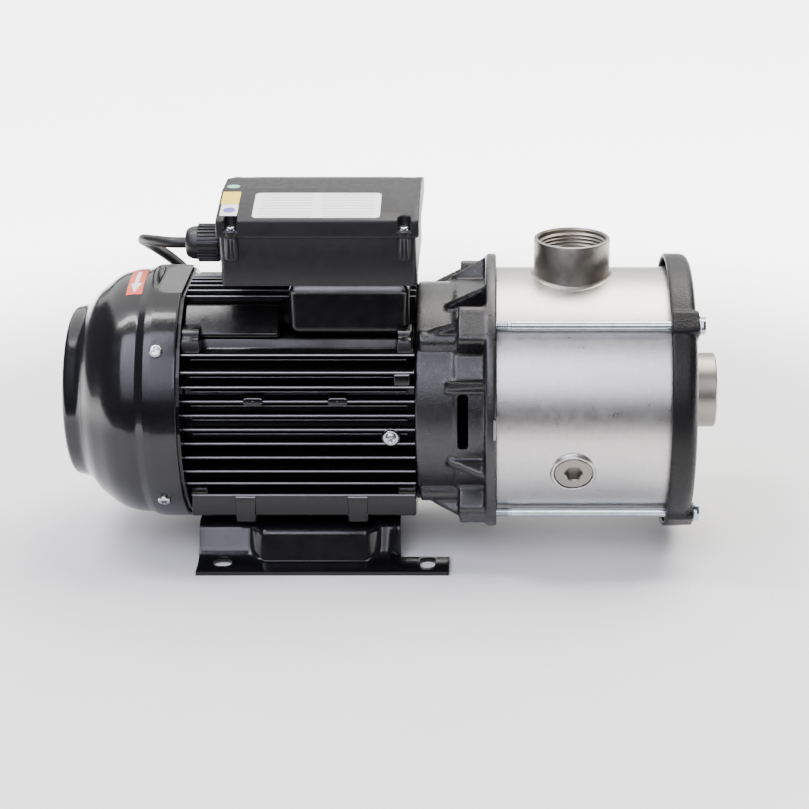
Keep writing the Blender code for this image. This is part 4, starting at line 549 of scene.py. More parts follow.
slot = bmesh.new()
prism(slot, rounded(oblong(0.0150, 0.0455, -0.00225, 0.00225), 0.0022, 4, True), -0.0030, 0.0050)
grille_slots = repeated("grille_slots", slot, cowl_enamel, [(nose_x, 0.0, shaft_z)] * slot_count,
                        [(2 * pi * (k + 0.5) / slot_count, 0.0, 0.0) for k in range(slot_count)])
nose_plate = turned("nose_plate", [(nose_x + 0.00004, 0.0), (nose_x + 0.00004, grille_outer),
                                   (nose_x + cowl_wall, grille_outer), (nose_x + cowl_wall, 0.0)], 96, on_shaft)


def cut_by(piece, tool, crossing=False):
    """Cut a tool's closed shapes out of a piece and throw the tool away. Crossing shapes run into each other."""
    cut = piece.modifiers.new("cut", "BOOLEAN")
    cut.operation, cut.solver, cut.object, cut.use_self = "DIFFERENCE", "EXACT", tool, crossing
    baked(piece)
    bpy.data.objects.remove(tool)
    return piece


def joined(name, *pieces):
    """Several plain pieces as one."""
    bm = bmesh.new()
    for piece in pieces:
        bm.from_mesh(piece.data)
        bpy.data.objects.remove(piece)
    return loose(name, bm)


dressed(joined("cowl", cowl_shell, cut_by(nose_plate, grille_slots)), cowl_enamel, ["fan_cowl"], 38.0)

# Turning mark: a red vinyl sticker over the cowl's shoulder with a plain white arrow printed on it
mark_left, mark_right, mark_low, mark_high = -0.1658, -0.1557, 69.4, 95.4


def on_cowl(bm, rows, lift):
    """A thin sheet on the cowl through rows of (degrees up from the front, left X, right X)."""
    rings = []
    for degrees, left, right in rows:
        line = [left + (right - left) * k / 8 for k in range(9)]
        skin = [(x, next(b.y + (a.y - b.y) * (b.x - x) / (b.x - a.x) for a, b in zip(outer, outer[1:])
                         if a.x <= x <= b.x and a.x < b.x)) for x in line]
        sheet = [(x, r + lift) for x, r in skin] + [(x, r + lift - 0.00015) for x, r in reversed(skin)]
        rings.append([(x, -r * cos(radians(degrees)), shaft_z + r * sin(radians(degrees))) for x, r in sheet])
    lofted(bm, rings)


def vinyl(name, tones, rough=(0.30, 0.42)):
    """Printed vinyl: even and slightly glossy, with a faint lay of the film."""
    return speckled(name, {"IOR": 1.50}, tones, 8.0, rough, 5.0, 0.9, 0.00001)


mark_red = vinyl("red_vinyl", ("df5842", "ee6a52"))
bm = bmesh.new()
on_cowl(bm, [(mark_low + (mark_high - mark_low) * k / 24, mark_left, mark_right) for k in range(25)], 0.00020)
dressed(loose("turning_mark", bm), mark_red)
print_white = vinyl("white_vinyl", ("e9e9eb", "f4f4f5"), (0.34, 0.46))
mark_middle = (mark_left + mark_right) / 2
arrow = [(mark_low + 2.0 + 7.0 * k / 8, mark_middle - 0.0004 - 0.0032 * k / 8, mark_middle + 0.0004 + 0.0032 * k / 8)
         for k in range(9)]
arrow += [(mark_low + 9.2 + 13.0 * k / 10, mark_middle - 0.0013, mark_middle + 0.0013) for k in range(11)]
bm = bmesh.new()
on_cowl(bm, arrow, 0.00030)
dressed(loose("turning_arrow", bm), print_white)

# Cowl screws: zinc-plated pan heads with a cross recess, on the rim band and threaded into the end shield's rim.
# The same head, in other sizes, holds the lid and the ground wire.
cowl_screw_x, cowl_screw_seat = -0.1430, 0.0812


def pan_head(head_radius, head_height, shank_radius, shank_length, washer_radius=0.0):
    """A pan-head screw along +X, its seat at 0, with a cross recess and a washer if it has one."""
    bm = bmesh.new()
    crown = [(head_height * (1 - 0.55 * (k / 6) ** 3), head_radius * sin(pi / 2 * k / 6) ** 0.8) for k in range(7)]
    lathe(bm, [(-shank_length, 0.0), (-shank_length, shank_radius), (0.0002, shank_radius), (0.0, head_radius * 0.97),
               *reversed(crown[1:]), crown[0]], 40)
    head = loose("head", bm)
    bm = bmesh.new()
    arm, half = head_radius * 0.66, head_radius * 0.16
    for wide, high in ((arm, half), (half, arm)):
        prism(bm, rounded(oblong(-wide, wide, -high, high), half * 0.8, 3, True), head_height * 0.15,
              head_height * 1.3)
    cut_by(head, loose("cross", bm), True)
    bm = bmesh.new()
    bm.from_mesh(head.data)
    bpy.data.objects.remove(head)
    if washer_radius:
        lathe(bm, [(0.0001, shank_radius), (-0.0009, shank_radius), (-0.0009, washer_radius - 0.0002),
                   (-0.0007, washer_radius), (-0.0001, washer_radius), (0.0001, washer_radius - 0.0002),
                   (0.0001, shank_radius)], 40)
        bmesh.ops.recalc_face_normals(bm, faces=bm.faces)
    return bm


# Bright zinc plating: pale bluish silver, a little cloudy from the bath
screw_zinc = speckled("bright_zinc_plating", {"Metallic": 1.0}, ("b7bac0", "d6d8dc"), 3.0, (0.20, 0.32), 2.0, 0.5,
                      0.00001)


def screw(name, node, place, spin, *sizes):
    """A pan-head screw in place of a CAD node, its cross turned by an angle."""
    head = pan_head(*sizes)
    head.transform(place @ Matrix.Rotation(spin, 4, "X"))
    dressed(loose(name, head), screw_zinc, [node])


def round_shaft(degrees):
    """What turns a piece built on the front, at shaft height, up round the shaft by an angle."""
    return on_shaft @ Matrix.Rotation(radians(-degrees), 4, "X")


to_front = Matrix.Rotation(-pi / 2, 4, "Z")
for number, angle in enumerate((37.0, -37.0, 143.0, 217.0), 1):
    screw(f"cowl_pan_screw_{number}", f"cowl_screw_{number}",
          round_shaft(angle) @ Matrix.Translation((cowl_screw_x, -cowl_screw_seat, 0.0)) @ to_front, 0.35 * number,
          0.0040, 0.0025, 0.0020, 0.0066)

# Motor frame: an aluminium casting in semi-gloss black paint, with level fins on its sides, upright ones on top,
# a flat panel under the box's left end, the box's pedestal, bolt lugs, foot pads and a boss for the ground wire.
frame_left, frame_right = -0.1285, 0.0145
core_inner, core_outer, fin_tip_radius, side_reach = 0.0520, 0.0580, 0.0750, 0.0670
fin_half, fin_pitch, first_fin, top_pitch = 0.0008, 0.0093, 0.0445, 0.0066
pedestal_left, pedestal_right = -0.0625, 0.0114
foot_pad_x = (-0.0934, -0.0226)
lug_middle, lug_half, lug_depth = 0.0690, 0.0068, 0.0115

# Semi-gloss black paint on die-cast aluminium: near black, with the soft ripple of sprayed paint, and a painted
# highlight along its long upper edges
frame_paint = speckled("black_paint_on_cast_aluminium", {"IOR": 1.42}, ("060607", "0d0d0e"), 30.0, (0.16, 0.26), 8.0,
                       1.2, 0.00005, "b0b0b4")


def fin_template(depth, inset):
    """A fin's bar along X with its rounded tip at Y = 0, and below it a ledge that stops short of the fin's ends."""
    bm = bmesh.new()
    tip = rounded([(depth, -fin_half), (0.0, -fin_half), (0.0, fin_half), (depth, fin_half)],
                  [0, 0.9 * fin_half, 0.9 * fin_half, 0], 3)
    prism(bm, tip, frame_left, frame_right)
    if inset:
        prism(bm, oblong(0.0060, depth, -0.0055, -0.0045), frame_left + inset, frame_right - inset, edge=0.0004,
              segments=3)
    return bm


fin_heights = [first_fin - fin_pitch * k for k in range(10)]
frame_pieces = []
for name, low, high, depth, inset in (("upper_fins", 0.030, 0.050, 0.0240, 0.0045),
                                      ("third_fins", 0.020, 0.030, 0.0165, 0.0045),
                                      ("middle_fins", -0.005, 0.020, 0.0130, 0.0045),
                                      ("lower_fins", -0.015, -0.005, 0.0130, 0.0),
                                      ("low_fins", -0.035, -0.015, 0.0178, 0.0),
                                      ("bottom_fins", -0.050, -0.035, 0.0230, 0.0)):
    ends = [(z, side) for z in fin_heights if low < z < high for side in (-1, 1)]
    places = [(0.0, side * min(side_reach, sqrt(fin_tip_radius ** 2 - z * z)), shaft_z + z) for z, side in ends]
    frame_pieces.append(repeated(name, fin_template(depth, inset), frame_paint, places, None,
                                 [(1.0, -side, 1.0) for z, side in ends]))
top_places = [(0.0, y, shaft_z + sqrt(fin_tip_radius ** 2 - y * y))
              for y in [s * top_pitch * (k + 0.5) for k in range(4) for s in (-1, 1)]]
frame_pieces.append(repeated("top_fins", fin_template(0.0180, 0.0), frame_paint, top_places,
                             [(-pi / 2, 0.0, 0.0)] * len(top_places)))
bm = bmesh.new()
lathe(bm, [(frame_left, core_inner), (frame_left, core_outer - 0.0005), (frame_left + 0.0005, core_outer),
           (frame_right - 0.0005, core_outer), (frame_right, core_outer - 0.0005), (frame_right, core_inner),
           (frame_left, core_inner)], 128, on_shaft)
panel = [(0.0300, 0.0560), (0.0300, 0.0675), (0.0347, 0.0690), (0.0505, 0.0554), (0.0505, 0.0529), (0.0360, 0.0470)]
shelf = [(0.0300, 0.0500), (0.0488, 0.0522), (0.0500, 0.0508), (0.0512, 0.0468), (0.0530, 0.0456), (0.0596, 0.0449),
         (0.0360, 0.0440)]
keel = [(0.0, -0.0500), (0.0300, -0.0470), (0.0559, -0.0500), (0.0552, -0.0647), (0.0330, -0.0720), (0.0, -0.0720)]
corner_block = [(0.0440, 0.0600), (0.0535, 0.0590), (0.0550, 0.0575), (0.0556, 0.0548), (0.0583, 0.0540),
                (0.0590, 0.0525), (0.0592, 0.0450), (0.0440, 0.0445)]
pad_foot = [(0.02675, -0.0640), (0.02675, -0.0740), (0.04025, -0.0740), (0.0560, -0.0686), (0.0560, -0.0640)]


def circle(x, y, radius, steps):
    """Points round a circle."""
    return [(x + radius * cos(2 * pi * k / steps), y + radius * sin(2 * pi * k / steps)) for k in range(steps)]


for side in (-1, 1):
    for outline, low, high, edge in ((panel, frame_left + 0.0008, -0.0695, 0.0009),
                                     (shelf, frame_left + 0.0010, frame_right - 0.0010, 0.0005),
                                     (keel, frame_left + 0.0008, frame_right - 0.0004, 0.0010),
                                     (corner_block, frame_left, frame_left + 0.0115, 0.0012),
                                     (corner_block, 0.0040, 0.0130, 0.0012),
                                     *((pad_foot, x - 0.00625, x + 0.00625, 0.0006) for x in foot_pad_x)):
        prism(bm, [(side * y, z) for y, z in outline], low, high, edge=edge, segments=3, place=on_shaft)
    for x in foot_pad_x:
        wedge = [(x - 0.0056, -0.0688), (x + 0.0056, -0.0688), (x + 0.0066, -0.0512), (x - 0.0066, -0.0512)]
        prism(bm, wedge, *sorted((side * 0.0400, side * 0.0566)), "Y", 0.0008, 3, on_shaft)
    for x in (-0.0848, -0.0327):
        bar = rounded(oblong(x - 0.0062, x + 0.0062, 0.0143, 0.0193), 0.0024, 5, True)
        prism(bm, bar, *sorted((side * 0.0550, side * 0.0674)), "Y", 0.0005, 2, on_shaft)
        prism(bm, circle(x, 0.0168, 0.0009, 12), *sorted((side * 0.0660, side * 0.0679)), "Y", 0.0003, 2, on_shaft)
    prism(bm, oblong(0.0020, 0.0120, 0.0268, 0.0345), *sorted((side * 0.0550, side * 0.0664)), "Y", 0.0010, 3,
          on_shaft)
rings = []
for z, half_width, tuck in ((0.0480, 0.0400, 0.0050), (0.0535, 0.0470, 0.0040), (0.0556, 0.0491, 0.0022),
                            (0.0568, 0.0500, 0.0008), (0.0582, 0.0502, 0.0002), (0.0600, 0.0502, 0.0),
                            (0.0806, 0.0500, 0.0), (0.0812, 0.0500, 0.0), (0.0826, 0.0494, 0.0004),
                            (0.0857, 0.0478, 0.0016)):
    corners = oblong(pedestal_left + tuck, pedestal_right - tuck, -half_width, half_width)
    rings.append([(x, y, shaft_z + z) for x, y in rounded(corners, 0.0050, 6, True)])
lofted(bm, rings)
lug_round = [(-0.0520, lug_half), (-lug_middle, lug_half)]
lug_round += [(-lug_middle - lug_half * sin(pi * k / 14), lug_half * cos(pi * k / 14)) for k in range(1, 14)]
lug_round += [(-lug_middle, -lug_half), (-0.0520, -lug_half)]
for low, high in ((frame_left, frame_left + lug_depth), (frame_right - lug_depth, frame_right)):
    for angle in (-46.0, 226.0):
        prism(bm, lug_round, low, high, edge=0.0010, segments=3, place=round_shaft(angle))
ground_x, ground_z = -0.0003, first_fin - fin_pitch * 5.5
prism(bm, circle(ground_x, ground_z, 0.0058, 32), -0.0672, -0.0550, "Y", 0.0005, 2, on_shaft)


# Which edges take the painted highlight: long ones along X, sharply turned, on faces turned up
highlight_along, highlight_start, highlight_width, highlight_slope = 0.8, 0.42, 0.10, 3


def mark_edge_highlights(piece):
    """Note on each point of a piece outside the frame's core how sharply its long upper edges turn.
    These marks lay a painted highlight on those edges.
    """
    bm = bmesh.new()
    bm.from_mesh(piece.data)
    marks = []
    for vert in bm.verts:
        turn = max((edge.calc_face_angle_signed(0.0) for edge in vert.link_edges
                    if abs(edge.other_vert(vert).co.x - vert.co.x) > highlight_along * edge.calc_length()), default=0.0)
        outside = hypot(vert.co.y, vert.co.z - shaft_z) > core_outer + 0.0005
        marks.append(outside * clamp((turn - highlight_start) / highlight_width) * clamp(highlight_slope * vert.normal.z))
    bm.free()
    piece.data.attributes.new("edge_highlight", "FLOAT", "POINT").data.foreach_set("value", marks)
    return piece


# The frame's long upper edges take a painted highlight
finned_frame = mark_edge_highlights(joined("finned_frame", loose("frame_body", bm), *frame_pieces))
dressed(finned_frame, frame_paint, ["motor_frame"], 35.0)

# Rear end shield: a cast cover in the same paint, its rim just inside the cowl. It shows only in the narrow gap
# between cowl and frame and behind the grille, so it keeps the shape of the CAD model.
refinished(frame_paint, "rear_end_shield")

# Ground screw: a zinc-plated pan head on a washer, for the earth wire, on its boss between two fins
washer_depth, ground_seat = 0.0009, 0.0673
screw("earth_screw", "ground_screw",
      Matrix.Translation((ground_x, -ground_seat - washer_depth, shaft_z + ground_z)) @ to_front, 0.6,
      0.0035, 0.0026, 0.0020, 0.0088, 0.0047)

# Foot: one pressing of 2.5 mm sheet steel in gloss black enamel. Its walls flare out at the ends and swell between
# the bolts to stiffen it, its flanges run on as tongues under the pump, and four bolts hold it up to the frame.
foot_left, foot_right, hat_right = -0.1250, 0.0350, 0.0036
foot_sheet, flange_half, tongue_inner = 0.0025, 0.0735, 0.0505
low_z, top_z = foot_sheet / 2, 0.0237 - foot_sheet / 2
slot_y, bolt_y = 0.0600, 0.0335


def foot_section(x):
    """The sheet's middle from the front flange's edge to the top's centre line, at one place along the shaft."""
    swell = ease(x, -0.0930, -0.0825) * (1 - ease(x, -0.0185, -0.0085))
    flare = 1 - ease(x, -0.0050, hat_right)
    mark = tongue_inner + (0.0715 - tongue_inner) * flare - 0.0060 * swell
    foot_y = 0.0470 + 0.0060 * flare + 0.0042 * swell
    corners = [(-flange_half, low_z), (-mark, low_z), (-foot_y, low_z), (-0.0432 - 0.0093 * swell, top_z),
               (-0.0150, top_z), (0.0, top_z)]
    return rounded(corners, [0, 0, 0.0220 - 0.0195 * swell, 0.0065 - 0.0015 * swell, 0, 0], 9)


bm = bmesh.new()
rows = []
for k in range(121):
    x = foot_left + (hat_right - foot_left) * k / 120
    half = foot_section(x)
    rows.append([bm.verts.new((x, y, z)) for y, z in half])
    rows[-1] += [bm.verts.new((x, -y, z)) for y, z in reversed(half[:-1])]


def faced(bm, row, after):
    """Faces between two rows of points along a sheet."""
    for k in range(len(row) - 1):
        bm.faces.new((row[k], row[k + 1], after[k + 1], after[k]))


for row, after in zip(rows, rows[1:]):
    faced(bm, row, after)
for side in (-1, 1):
    before = [vert for vert in rows[-1] if side * vert.co.y >= tongue_inner - 0.0001]
    before.sort(key=lambda vert: vert.co.y)
    for k in range(1, 17):
        x = hat_right + (foot_right - hat_right) * k / 16
        row = [bm.verts.new((x, vert.co.y, low_z)) for vert in before]
        faced(bm, before, row)
        before = row
pressed_foot = loose("pressed_foot", bm)
if sum(face.normal.z for face in pressed_foot.data.polygons) < 0:
    pressed_foot.data.flip_normals()
sheet = pressed_foot.modifiers.new("sheet", "SOLIDIFY")
sheet.thickness, sheet.offset = foot_sheet, 0.0
bm = bmesh.new()
for side in (-1, 1):
    for x, half_length, half_width in ((-0.1094, 0.0060, 0.0045), (0.0212, 0.0048, 0.0070)):
        corners = oblong(x - half_length, x + half_length, side * slot_y - half_width, side * slot_y + half_width)
        prism(bm, rounded(corners, min(half_length, half_width), 8, True), -0.0030, 0.0060, "Z")
    for x in foot_pad_x:
        prism(bm, circle(x, side * bolt_y, 0.0033, 24), 0.0180, 0.0280, "Z")
cut_by(pressed_foot, loose("foot_holes", bm))


def softened(piece, width, segments, degrees=35.0):
    """Round a piece's sharp edges and make it a plain mesh."""
    edges = piece.modifiers.new("edges", "BEVEL")
    edges.width, edges.segments, edges.limit_method, edges.angle_limit = width, segments, "ANGLE", radians(degrees)
    return baked(piece)


dressed(softened(pressed_foot, 0.0005, 2, 40.0), cowl_enamel, ["foot_plate"], 35.0)
refinished(screw_zinc, *(f"foot_bolt_{k}" for k in range(1, 5)))

# Pump bracket: an iron casting in satin black paint that joins the motor to the pump. Bolt lugs, webs, tie-bolt
# bosses and gussets stand on its round wall, and a window on each side lets leaked water out.
bracket_left, flange_left, flange_right = 0.0148, 0.0580, 0.0650
bracket_outer, bracket_inner, flange_radius = 0.0700, 0.0630, 0.0880
lug_left, lug_right, tie_boss_left, web_root, web_depth = 0.0173, 0.0398, 0.0415, 0.066, 0.020
tie_centre, tie_angles, lug_angles = 0.0832, (48.5, -48.5, 131.5, 228.5), (46.0, -46.0, 134.0, 226.0)
bm = bmesh.new()
lathe(bm, [(0.0118, 0.0517), (bracket_left, 0.0517), (bracket_left, 0.0690), (0.0158, bracket_outer),
           (0.0385, bracket_outer), (0.0395, 0.0712), (flange_left, 0.0712), (flange_left, 0.0868),
           (flange_left + 0.0012, flange_radius), (flange_right - 0.0008, flange_radius),
           (flange_right, flange_radius - 0.0008), (flange_right, 0.0798), (0.0630, 0.0798), (0.0630, bracket_inner),
           (0.0223, bracket_inner), (0.0223, 0.0120), (0.0150, 0.0120), (0.0150, 0.0203), (0.0030, 0.0203),
           (0.0030, 0.0233), (0.0118, 0.0233), (0.0118, 0.0517)], 192, on_shaft)


def radial_web(bm, outline, root, tip, place):
    """A drafted web in a plane through the shaft, from (x, radius) points: thick at its root, thinner at its tip."""
    own = bmesh.new()
    lofted(own, [[(x, -r, side * (root + (tip - root) * clamp((r - web_root) / web_depth)) / 2)
                  for x, r in outline] for side in (-1, 1)])
    own.transform(place)
    blended(bm, own)


gusset = [(flange_left - 0.0245, 0.0660), (flange_left + 0.0030, 0.0660), (flange_left + 0.0030, 0.0862),
          (flange_left, 0.0862), (flange_left - 0.0235, 0.0722)]
for angle in (68.0, 22.0, -19.0, -66.0):
    for place in (angle, 180 - angle):
        radial_web(bm, gusset, 0.0066, 0.0042, round_shaft(place))
boss_outline = rounded(oblong(-0.0872, -0.0620, -0.0130, 0.0130), [0.0040, 0, 0, 0.0040], 6, True)
for tie_place, lug_place in zip(tie_angles, lug_angles):
    prism(bm, boss_outline, tie_boss_left, flange_left + 0.0030, place=round_shaft(tie_place))
    prism(bm, [(u - 0.0004, v) for u, v in lug_round], lug_left, lug_right, place=round_shaft(lug_place))
    radial_web(bm, [(lug_left + 0.0070, 0.0640), (tie_boss_left + 0.0020, 0.0640), (tie_boss_left + 0.0020, 0.0866),
                    (lug_left + 0.0070, 0.0760)], 0.0056, 0.0044, round_shaft(tie_place))


def sand_cast(name, bm, voxel, rounds):
    """A loose piece whose overlapping shapes become one skin, its inner corners rounded by smoothing as sand does."""
    piece = loose(name, bm)
    cast = piece.modifiers.new("cast", "REMESH")
    cast.mode, cast.voxel_size = "VOXEL", voxel
    soften = piece.modifiers.new("soften", "SMOOTH")
    soften.factor, soften.iterations = 0.5, rounds
    return piece


bracket_casting = sand_cast("bracket_casting", bm, 0.0011, 4)
bm = bmesh.new()
window = rounded(oblong(0.0408, 0.0476, -0.0177, 0.0177), 0.0022, 5, True)
for place in (3.5, 176.5):
    prism(bm, window, -0.0900, -0.0560, "Y", place=round_shaft(place))
prism(bm, oblong(-0.0900, -0.0785, -0.0066, 0.0066), 0.0629, 0.0660, place=round_shaft(4.0))


def tie_holes(bm, low, high):
    """The four holes for the tie bolts, from one place along the shaft to another."""
    for angle in tie_angles:
        prism(bm, circle(-tie_centre, 0.0, 0.0034, 24), low, high, place=round_shaft(angle))


tie_holes(bm, 0.0445, 0.0660)
cut_by(bracket_casting, loose("bracket_openings", bm))

# Satin black paint over a sand casting: charcoal where the light rakes it, with the pimpled skin of the sand
cast_paint = speckled("black_paint_on_sand_casting", {"IOR": 1.62}, ("0c0c0d", "161617"), 16.0, (0.26, 0.40), 4.0,
                      0.9, 0.00020)
dressed(bracket_casting, cast_paint, ["pump_bracket"], 60.0)

# Barrel: a shell rolled from stainless sheet and clamped between bracket and end cover, with the seal plate's tab
# showing at its left end. The drain's boss is welded into its front.
barrel_left, barrel_right, barrel_radius, barrel_wall, burr = 0.0650, 0.1750, 0.0793, 0.0015, 0.0003
drain_x, drain_angle, drain_boss_radius, drain_top = 0.1127, -20.0, 0.0140, 0.0805


def stainless(name, tones, rough, mottle_mm, spark_mm, spark_depth):
    """Satin stainless: a soft cloud of two tones, a gloss that drifts with it, and the glints of its crystals."""
    material, tree, shader, place = started(name, {"Metallic": 1.0})
    cloud = add(tree, "ShaderNodeTexNoise", {}, {"Vector": place, "Scale": 1000 / mottle_mm, "Detail": 4.0,
                                                 "Roughness": 0.6})
    crystal = add(tree, "ShaderNodeTexVoronoi", {}, {"Vector": place, "Scale": 1000 / spark_mm})
    share = add(tree, "ShaderNodeMix", {}, {0: 0.45, 2: cloud.outputs["Fac"], 3: crystal.outputs["Color"]})
    tone = add(tree, "ShaderNodeMix", {"data_type": "RGBA"},
               {0: share.outputs[0], 6: linear(tones[0]), 7: linear(tones[1])})
    gloss = add(tree, "ShaderNodeMapRange", {}, {"Value": cloud.outputs["Fac"], "From Min": 0.3, "From Max": 0.7,
                                                 "To Min": rough[0], "To Max": rough[1]})
    facet = add(tree, "ShaderNodeTexNoise", {}, {"Vector": place, "Scale": 1000 / spark_mm, "Detail": 2.0})
    skin = add(tree, "ShaderNodeBump", {}, {"Height": facet.outputs["Fac"], "Distance": spark_depth})
    wire(tree, shader, {"Base Color": tone.outputs[2], "Roughness": gloss.outputs["Result"],
                        "Normal": skin.outputs["Normal"]})
    return material


# Shot-dulled stainless sheet: bright, cloudy and faintly sparkling. The crystals are drawn at 0.6 mm, several times
# their real size, so that they show.
barrel_steel = stainless("dulled_stainless_sheet", ("b9b7b4", "d8d6d3"), (0.27, 0.35), 5.0, 0.6, 0.00008)
barrel_skin = [(barrel_left + burr + (barrel_right - barrel_left - 2 * burr) * k / 40, barrel_radius)
               for k in range(41)]
rolled_shell = turned("rolled_shell", [
    (barrel_left, barrel_radius - barrel_wall), (barrel_left, barrel_radius - burr), *barrel_skin,
    (barrel_right, barrel_radius - burr), (barrel_right, barrel_radius - barrel_wall),
    (barrel_left, barrel_radius - barrel_wall)], 256, on_shaft)


def on_barrel(x, radius, height, turn, steps=96):
    """A ring of points a height over the barrel, round a branch at x, turned up from the front."""
    return [turn @ Vector((u, -sqrt(barrel_radius ** 2 - v * v) - height, v))
            for u, v in circle(x, 0.0, radius, steps)]


def weld_bead(bm, x, radius, turn, width, steps=160, ripples=42):
    """A rippled fillet where a branch stands on the barrel."""
    rings = []
    for j in range(7):
        share = j / 6
        row = on_barrel(x, radius + width * (1 - share), -0.0002, turn, steps)
        lift = on_barrel(x, radius + width * (1 - share), width * 0.9 * share ** 1.6, turn, steps)
        rings.append([low.lerp(high, 1 + 0.10 * sin(2 * pi * ripples * k / steps) * sin(pi * share))
                      for k, (low, high) in enumerate(zip(row, lift))])
    lofted(bm, rings + [row, rings[0]], False)


drain_axis = round_shaft(drain_angle) @ Matrix.Translation((drain_x, 0.0, 0.0)) @ Matrix.Rotation(-pi / 2, 4, "Z")
cut_by(rolled_shell, turned("drain_hole", [(0.0700, 0.0), (0.0700, 0.0132), (0.0850, 0.0132), (0.0850, 0.0)], 64,
                            drain_axis))
bm = bmesh.new()
lathe(bm, [(0.0733, 0.0084), (0.0733, drain_boss_radius), (drain_top - 0.0005, drain_boss_radius),
           (drain_top, drain_boss_radius - 0.0005), (drain_top, 0.0126), (drain_top - 0.0002, 0.0124),
           (0.0763, 0.0124), (0.0763, 0.0084), (0.0733, 0.0084)], 96, drain_axis)
weld_bead(bm, drain_x, drain_boss_radius - 0.0002, round_shaft(drain_angle), 0.0012)
dressed(joined("rolled_barrel", rolled_shell, welded("drain_boss", bm)), barrel_steel, ["barrel"], 30.0)
refinished(barrel_steel, "seal_plate")

# Outlet: a turned stainless socket with a 1 1/4 inch pipe thread, welded on over a hole in the barrel's top.
# The hole is in the CAD model only: here the barrel's skin runs on under the socket and closes its foot.
outlet_x, port_radius, port_bore, outlet_top = 0.1126, 0.0240, 0.0210, 0.1024
thread_tree, given = new_tree("screw_thread", (("Radius", "Float"), ("Pitch", "Float"), ("Turns", "Float"),
                                               ("Depth", "Float"), ("Finish", "Material")))
rise = add(thread_tree, "ShaderNodeMath", {"operation": "MULTIPLY"}, {0: given["Pitch"], 1: given["Turns"]})
helix = add(thread_tree, "GeometryNodeCurveSpiral", {},
            {"Resolution": 72, "Rotations": given["Turns"], "Start Radius": given["Radius"],
             "End Radius": given["Radius"], "Height": rise.outputs[0]})
ridge = add(thread_tree, "GeometryNodeCurvePrimitiveCircle", {}, {"Resolution": 4, "Radius": given["Depth"]})
upright = add(thread_tree, "GeometryNodeSetCurveNormal", {"mode": "Z_UP"}, {"Curve": helix.outputs["Curve"]})
swept = add(thread_tree, "GeometryNodeCurveToMesh", {}, {"Curve": upright.outputs["Curve"],
                                                         "Profile Curve": ridge.outputs["Curve"], "Fill Caps": True})
end_tree(thread_tree, swept.outputs["Mesh"], given["Finish"])


def threaded(name, radius, pitch, turns, depth, material, place):
    """A screw thread's ridge along Z from 0, as a plain mesh object that is then put in place."""
    thread = grown(name, bpy.data.meshes.new(name), thread_tree,
                   {"Radius": radius, "Pitch": pitch, "Turns": turns, "Depth": depth, "Finish": material})
    thread.data.transform(place)
    return thread


# Turned stainless bar: a little darker, warmer and duller than the sheet
port_steel = stainless("turned_stainless", ("8b867e", "a39e96"), (0.34, 0.44), 9.0, 0.6, 0.00003)
outlet_turn = round_shaft(90.0)
bm = bmesh.new()
outlet_rings = [on_barrel(outlet_x, port_radius, -0.0004, outlet_turn)]
for radius, top in ((port_radius, 0.0830), (port_radius, outlet_top - 0.0010),
                    (port_radius - 0.0003, outlet_top - 0.0003), (port_radius - 0.0010, outlet_top),
                    (port_bore + 0.0010, outlet_top), (port_bore + 0.0002, outlet_top - 0.0010), (port_bore, 0.0830)):
    outlet_rings.append([outlet_turn @ Vector((u, -top, v)) for u, v in circle(outlet_x, 0.0, radius, 96)])
outlet_rings.append(on_barrel(outlet_x, port_bore, -0.0004, outlet_turn))
lofted(bm, outlet_rings + outlet_rings[:1], False)
weld_bead(bm, outlet_x, port_radius - 0.0002, outlet_turn, 0.0020)
pipe_pitch, thread_depth, thread_start = 0.002309, 0.0011, 0.0024
outlet_thread = threaded("outlet_thread", port_bore + 0.0002, pipe_pitch, 6.5, thread_depth, port_steel,
                         on_shaft @ Matrix.Translation((outlet_x, 0.0, outlet_top - thread_start - 6.5 * pipe_pitch)))
dressed(joined("outlet_socket", welded("outlet_wall", bm), outlet_thread), port_steel, ["outlet_port"],
        35.0)

# Drain plug and washer: a turned stainless plug with a hexagon socket, screwed down flush in its boss on a rubber
# washer. The washer slides out with the plug, and the plug turns.
washer_low, washer_high, plug_flange = 0.0766, 0.0776, 0.0779
# Nitrile rubber: black and dull
washer_rubber = speckled("black_nitrile_washer", {"IOR": 1.52}, ("0b0b0c", "151516"), 5.0, (0.50, 0.62), 3.0, 0.7,
                         0.00004)
nitrile_washer = turned("nitrile_washer", [
    (washer_low, 0.0085), (washer_low, 0.0113), (washer_low + 0.0003, 0.0116), (washer_high - 0.0003, 0.0116),
    (washer_high, 0.0113), (washer_high, 0.0085), (washer_low, 0.0085)], 64, drain_axis)
dressed(nitrile_washer, washer_rubber, ["drain_washer"], body="drain_washer")
plug_blank = turned("plug_blank", [
    (0.0689, 0.0), (0.0689, 0.0070), (0.0695, 0.0076), (plug_flange, 0.0076), (plug_flange, 0.0115),
    (plug_flange + 0.0003, 0.0118), (drain_top - 0.0005, 0.0118), (drain_top, 0.0112), (drain_top, 0.0)], 96,
    drain_axis)
bm = bmesh.new()
prism(bm, circle(0.0, 0.0, 0.00577, 6), drain_top - 0.0060, drain_top + 0.0010, place=drain_axis)
lathe(bm, [(drain_top - 0.0007, 0.0), (drain_top - 0.0007, 0.0053), (drain_top + 0.0002, 0.0062),
           (drain_top + 0.0002, 0.0)], 48, drain_axis)
cut_by(plug_blank, loose("plug_hex", bm), True)
plug_thread = threaded("plug_thread", 0.0076, 0.001337, 6, 0.0004, port_steel,
                       drain_axis @ Matrix.Translation((0.0693, 0.0, 0.0)) @ Matrix.Rotation(pi / 2, 4, "Y"))
dressed(joined("drain_screw", plug_blank, plug_thread), port_steel, ["drain_plug"], 30.0, "drain_plug")

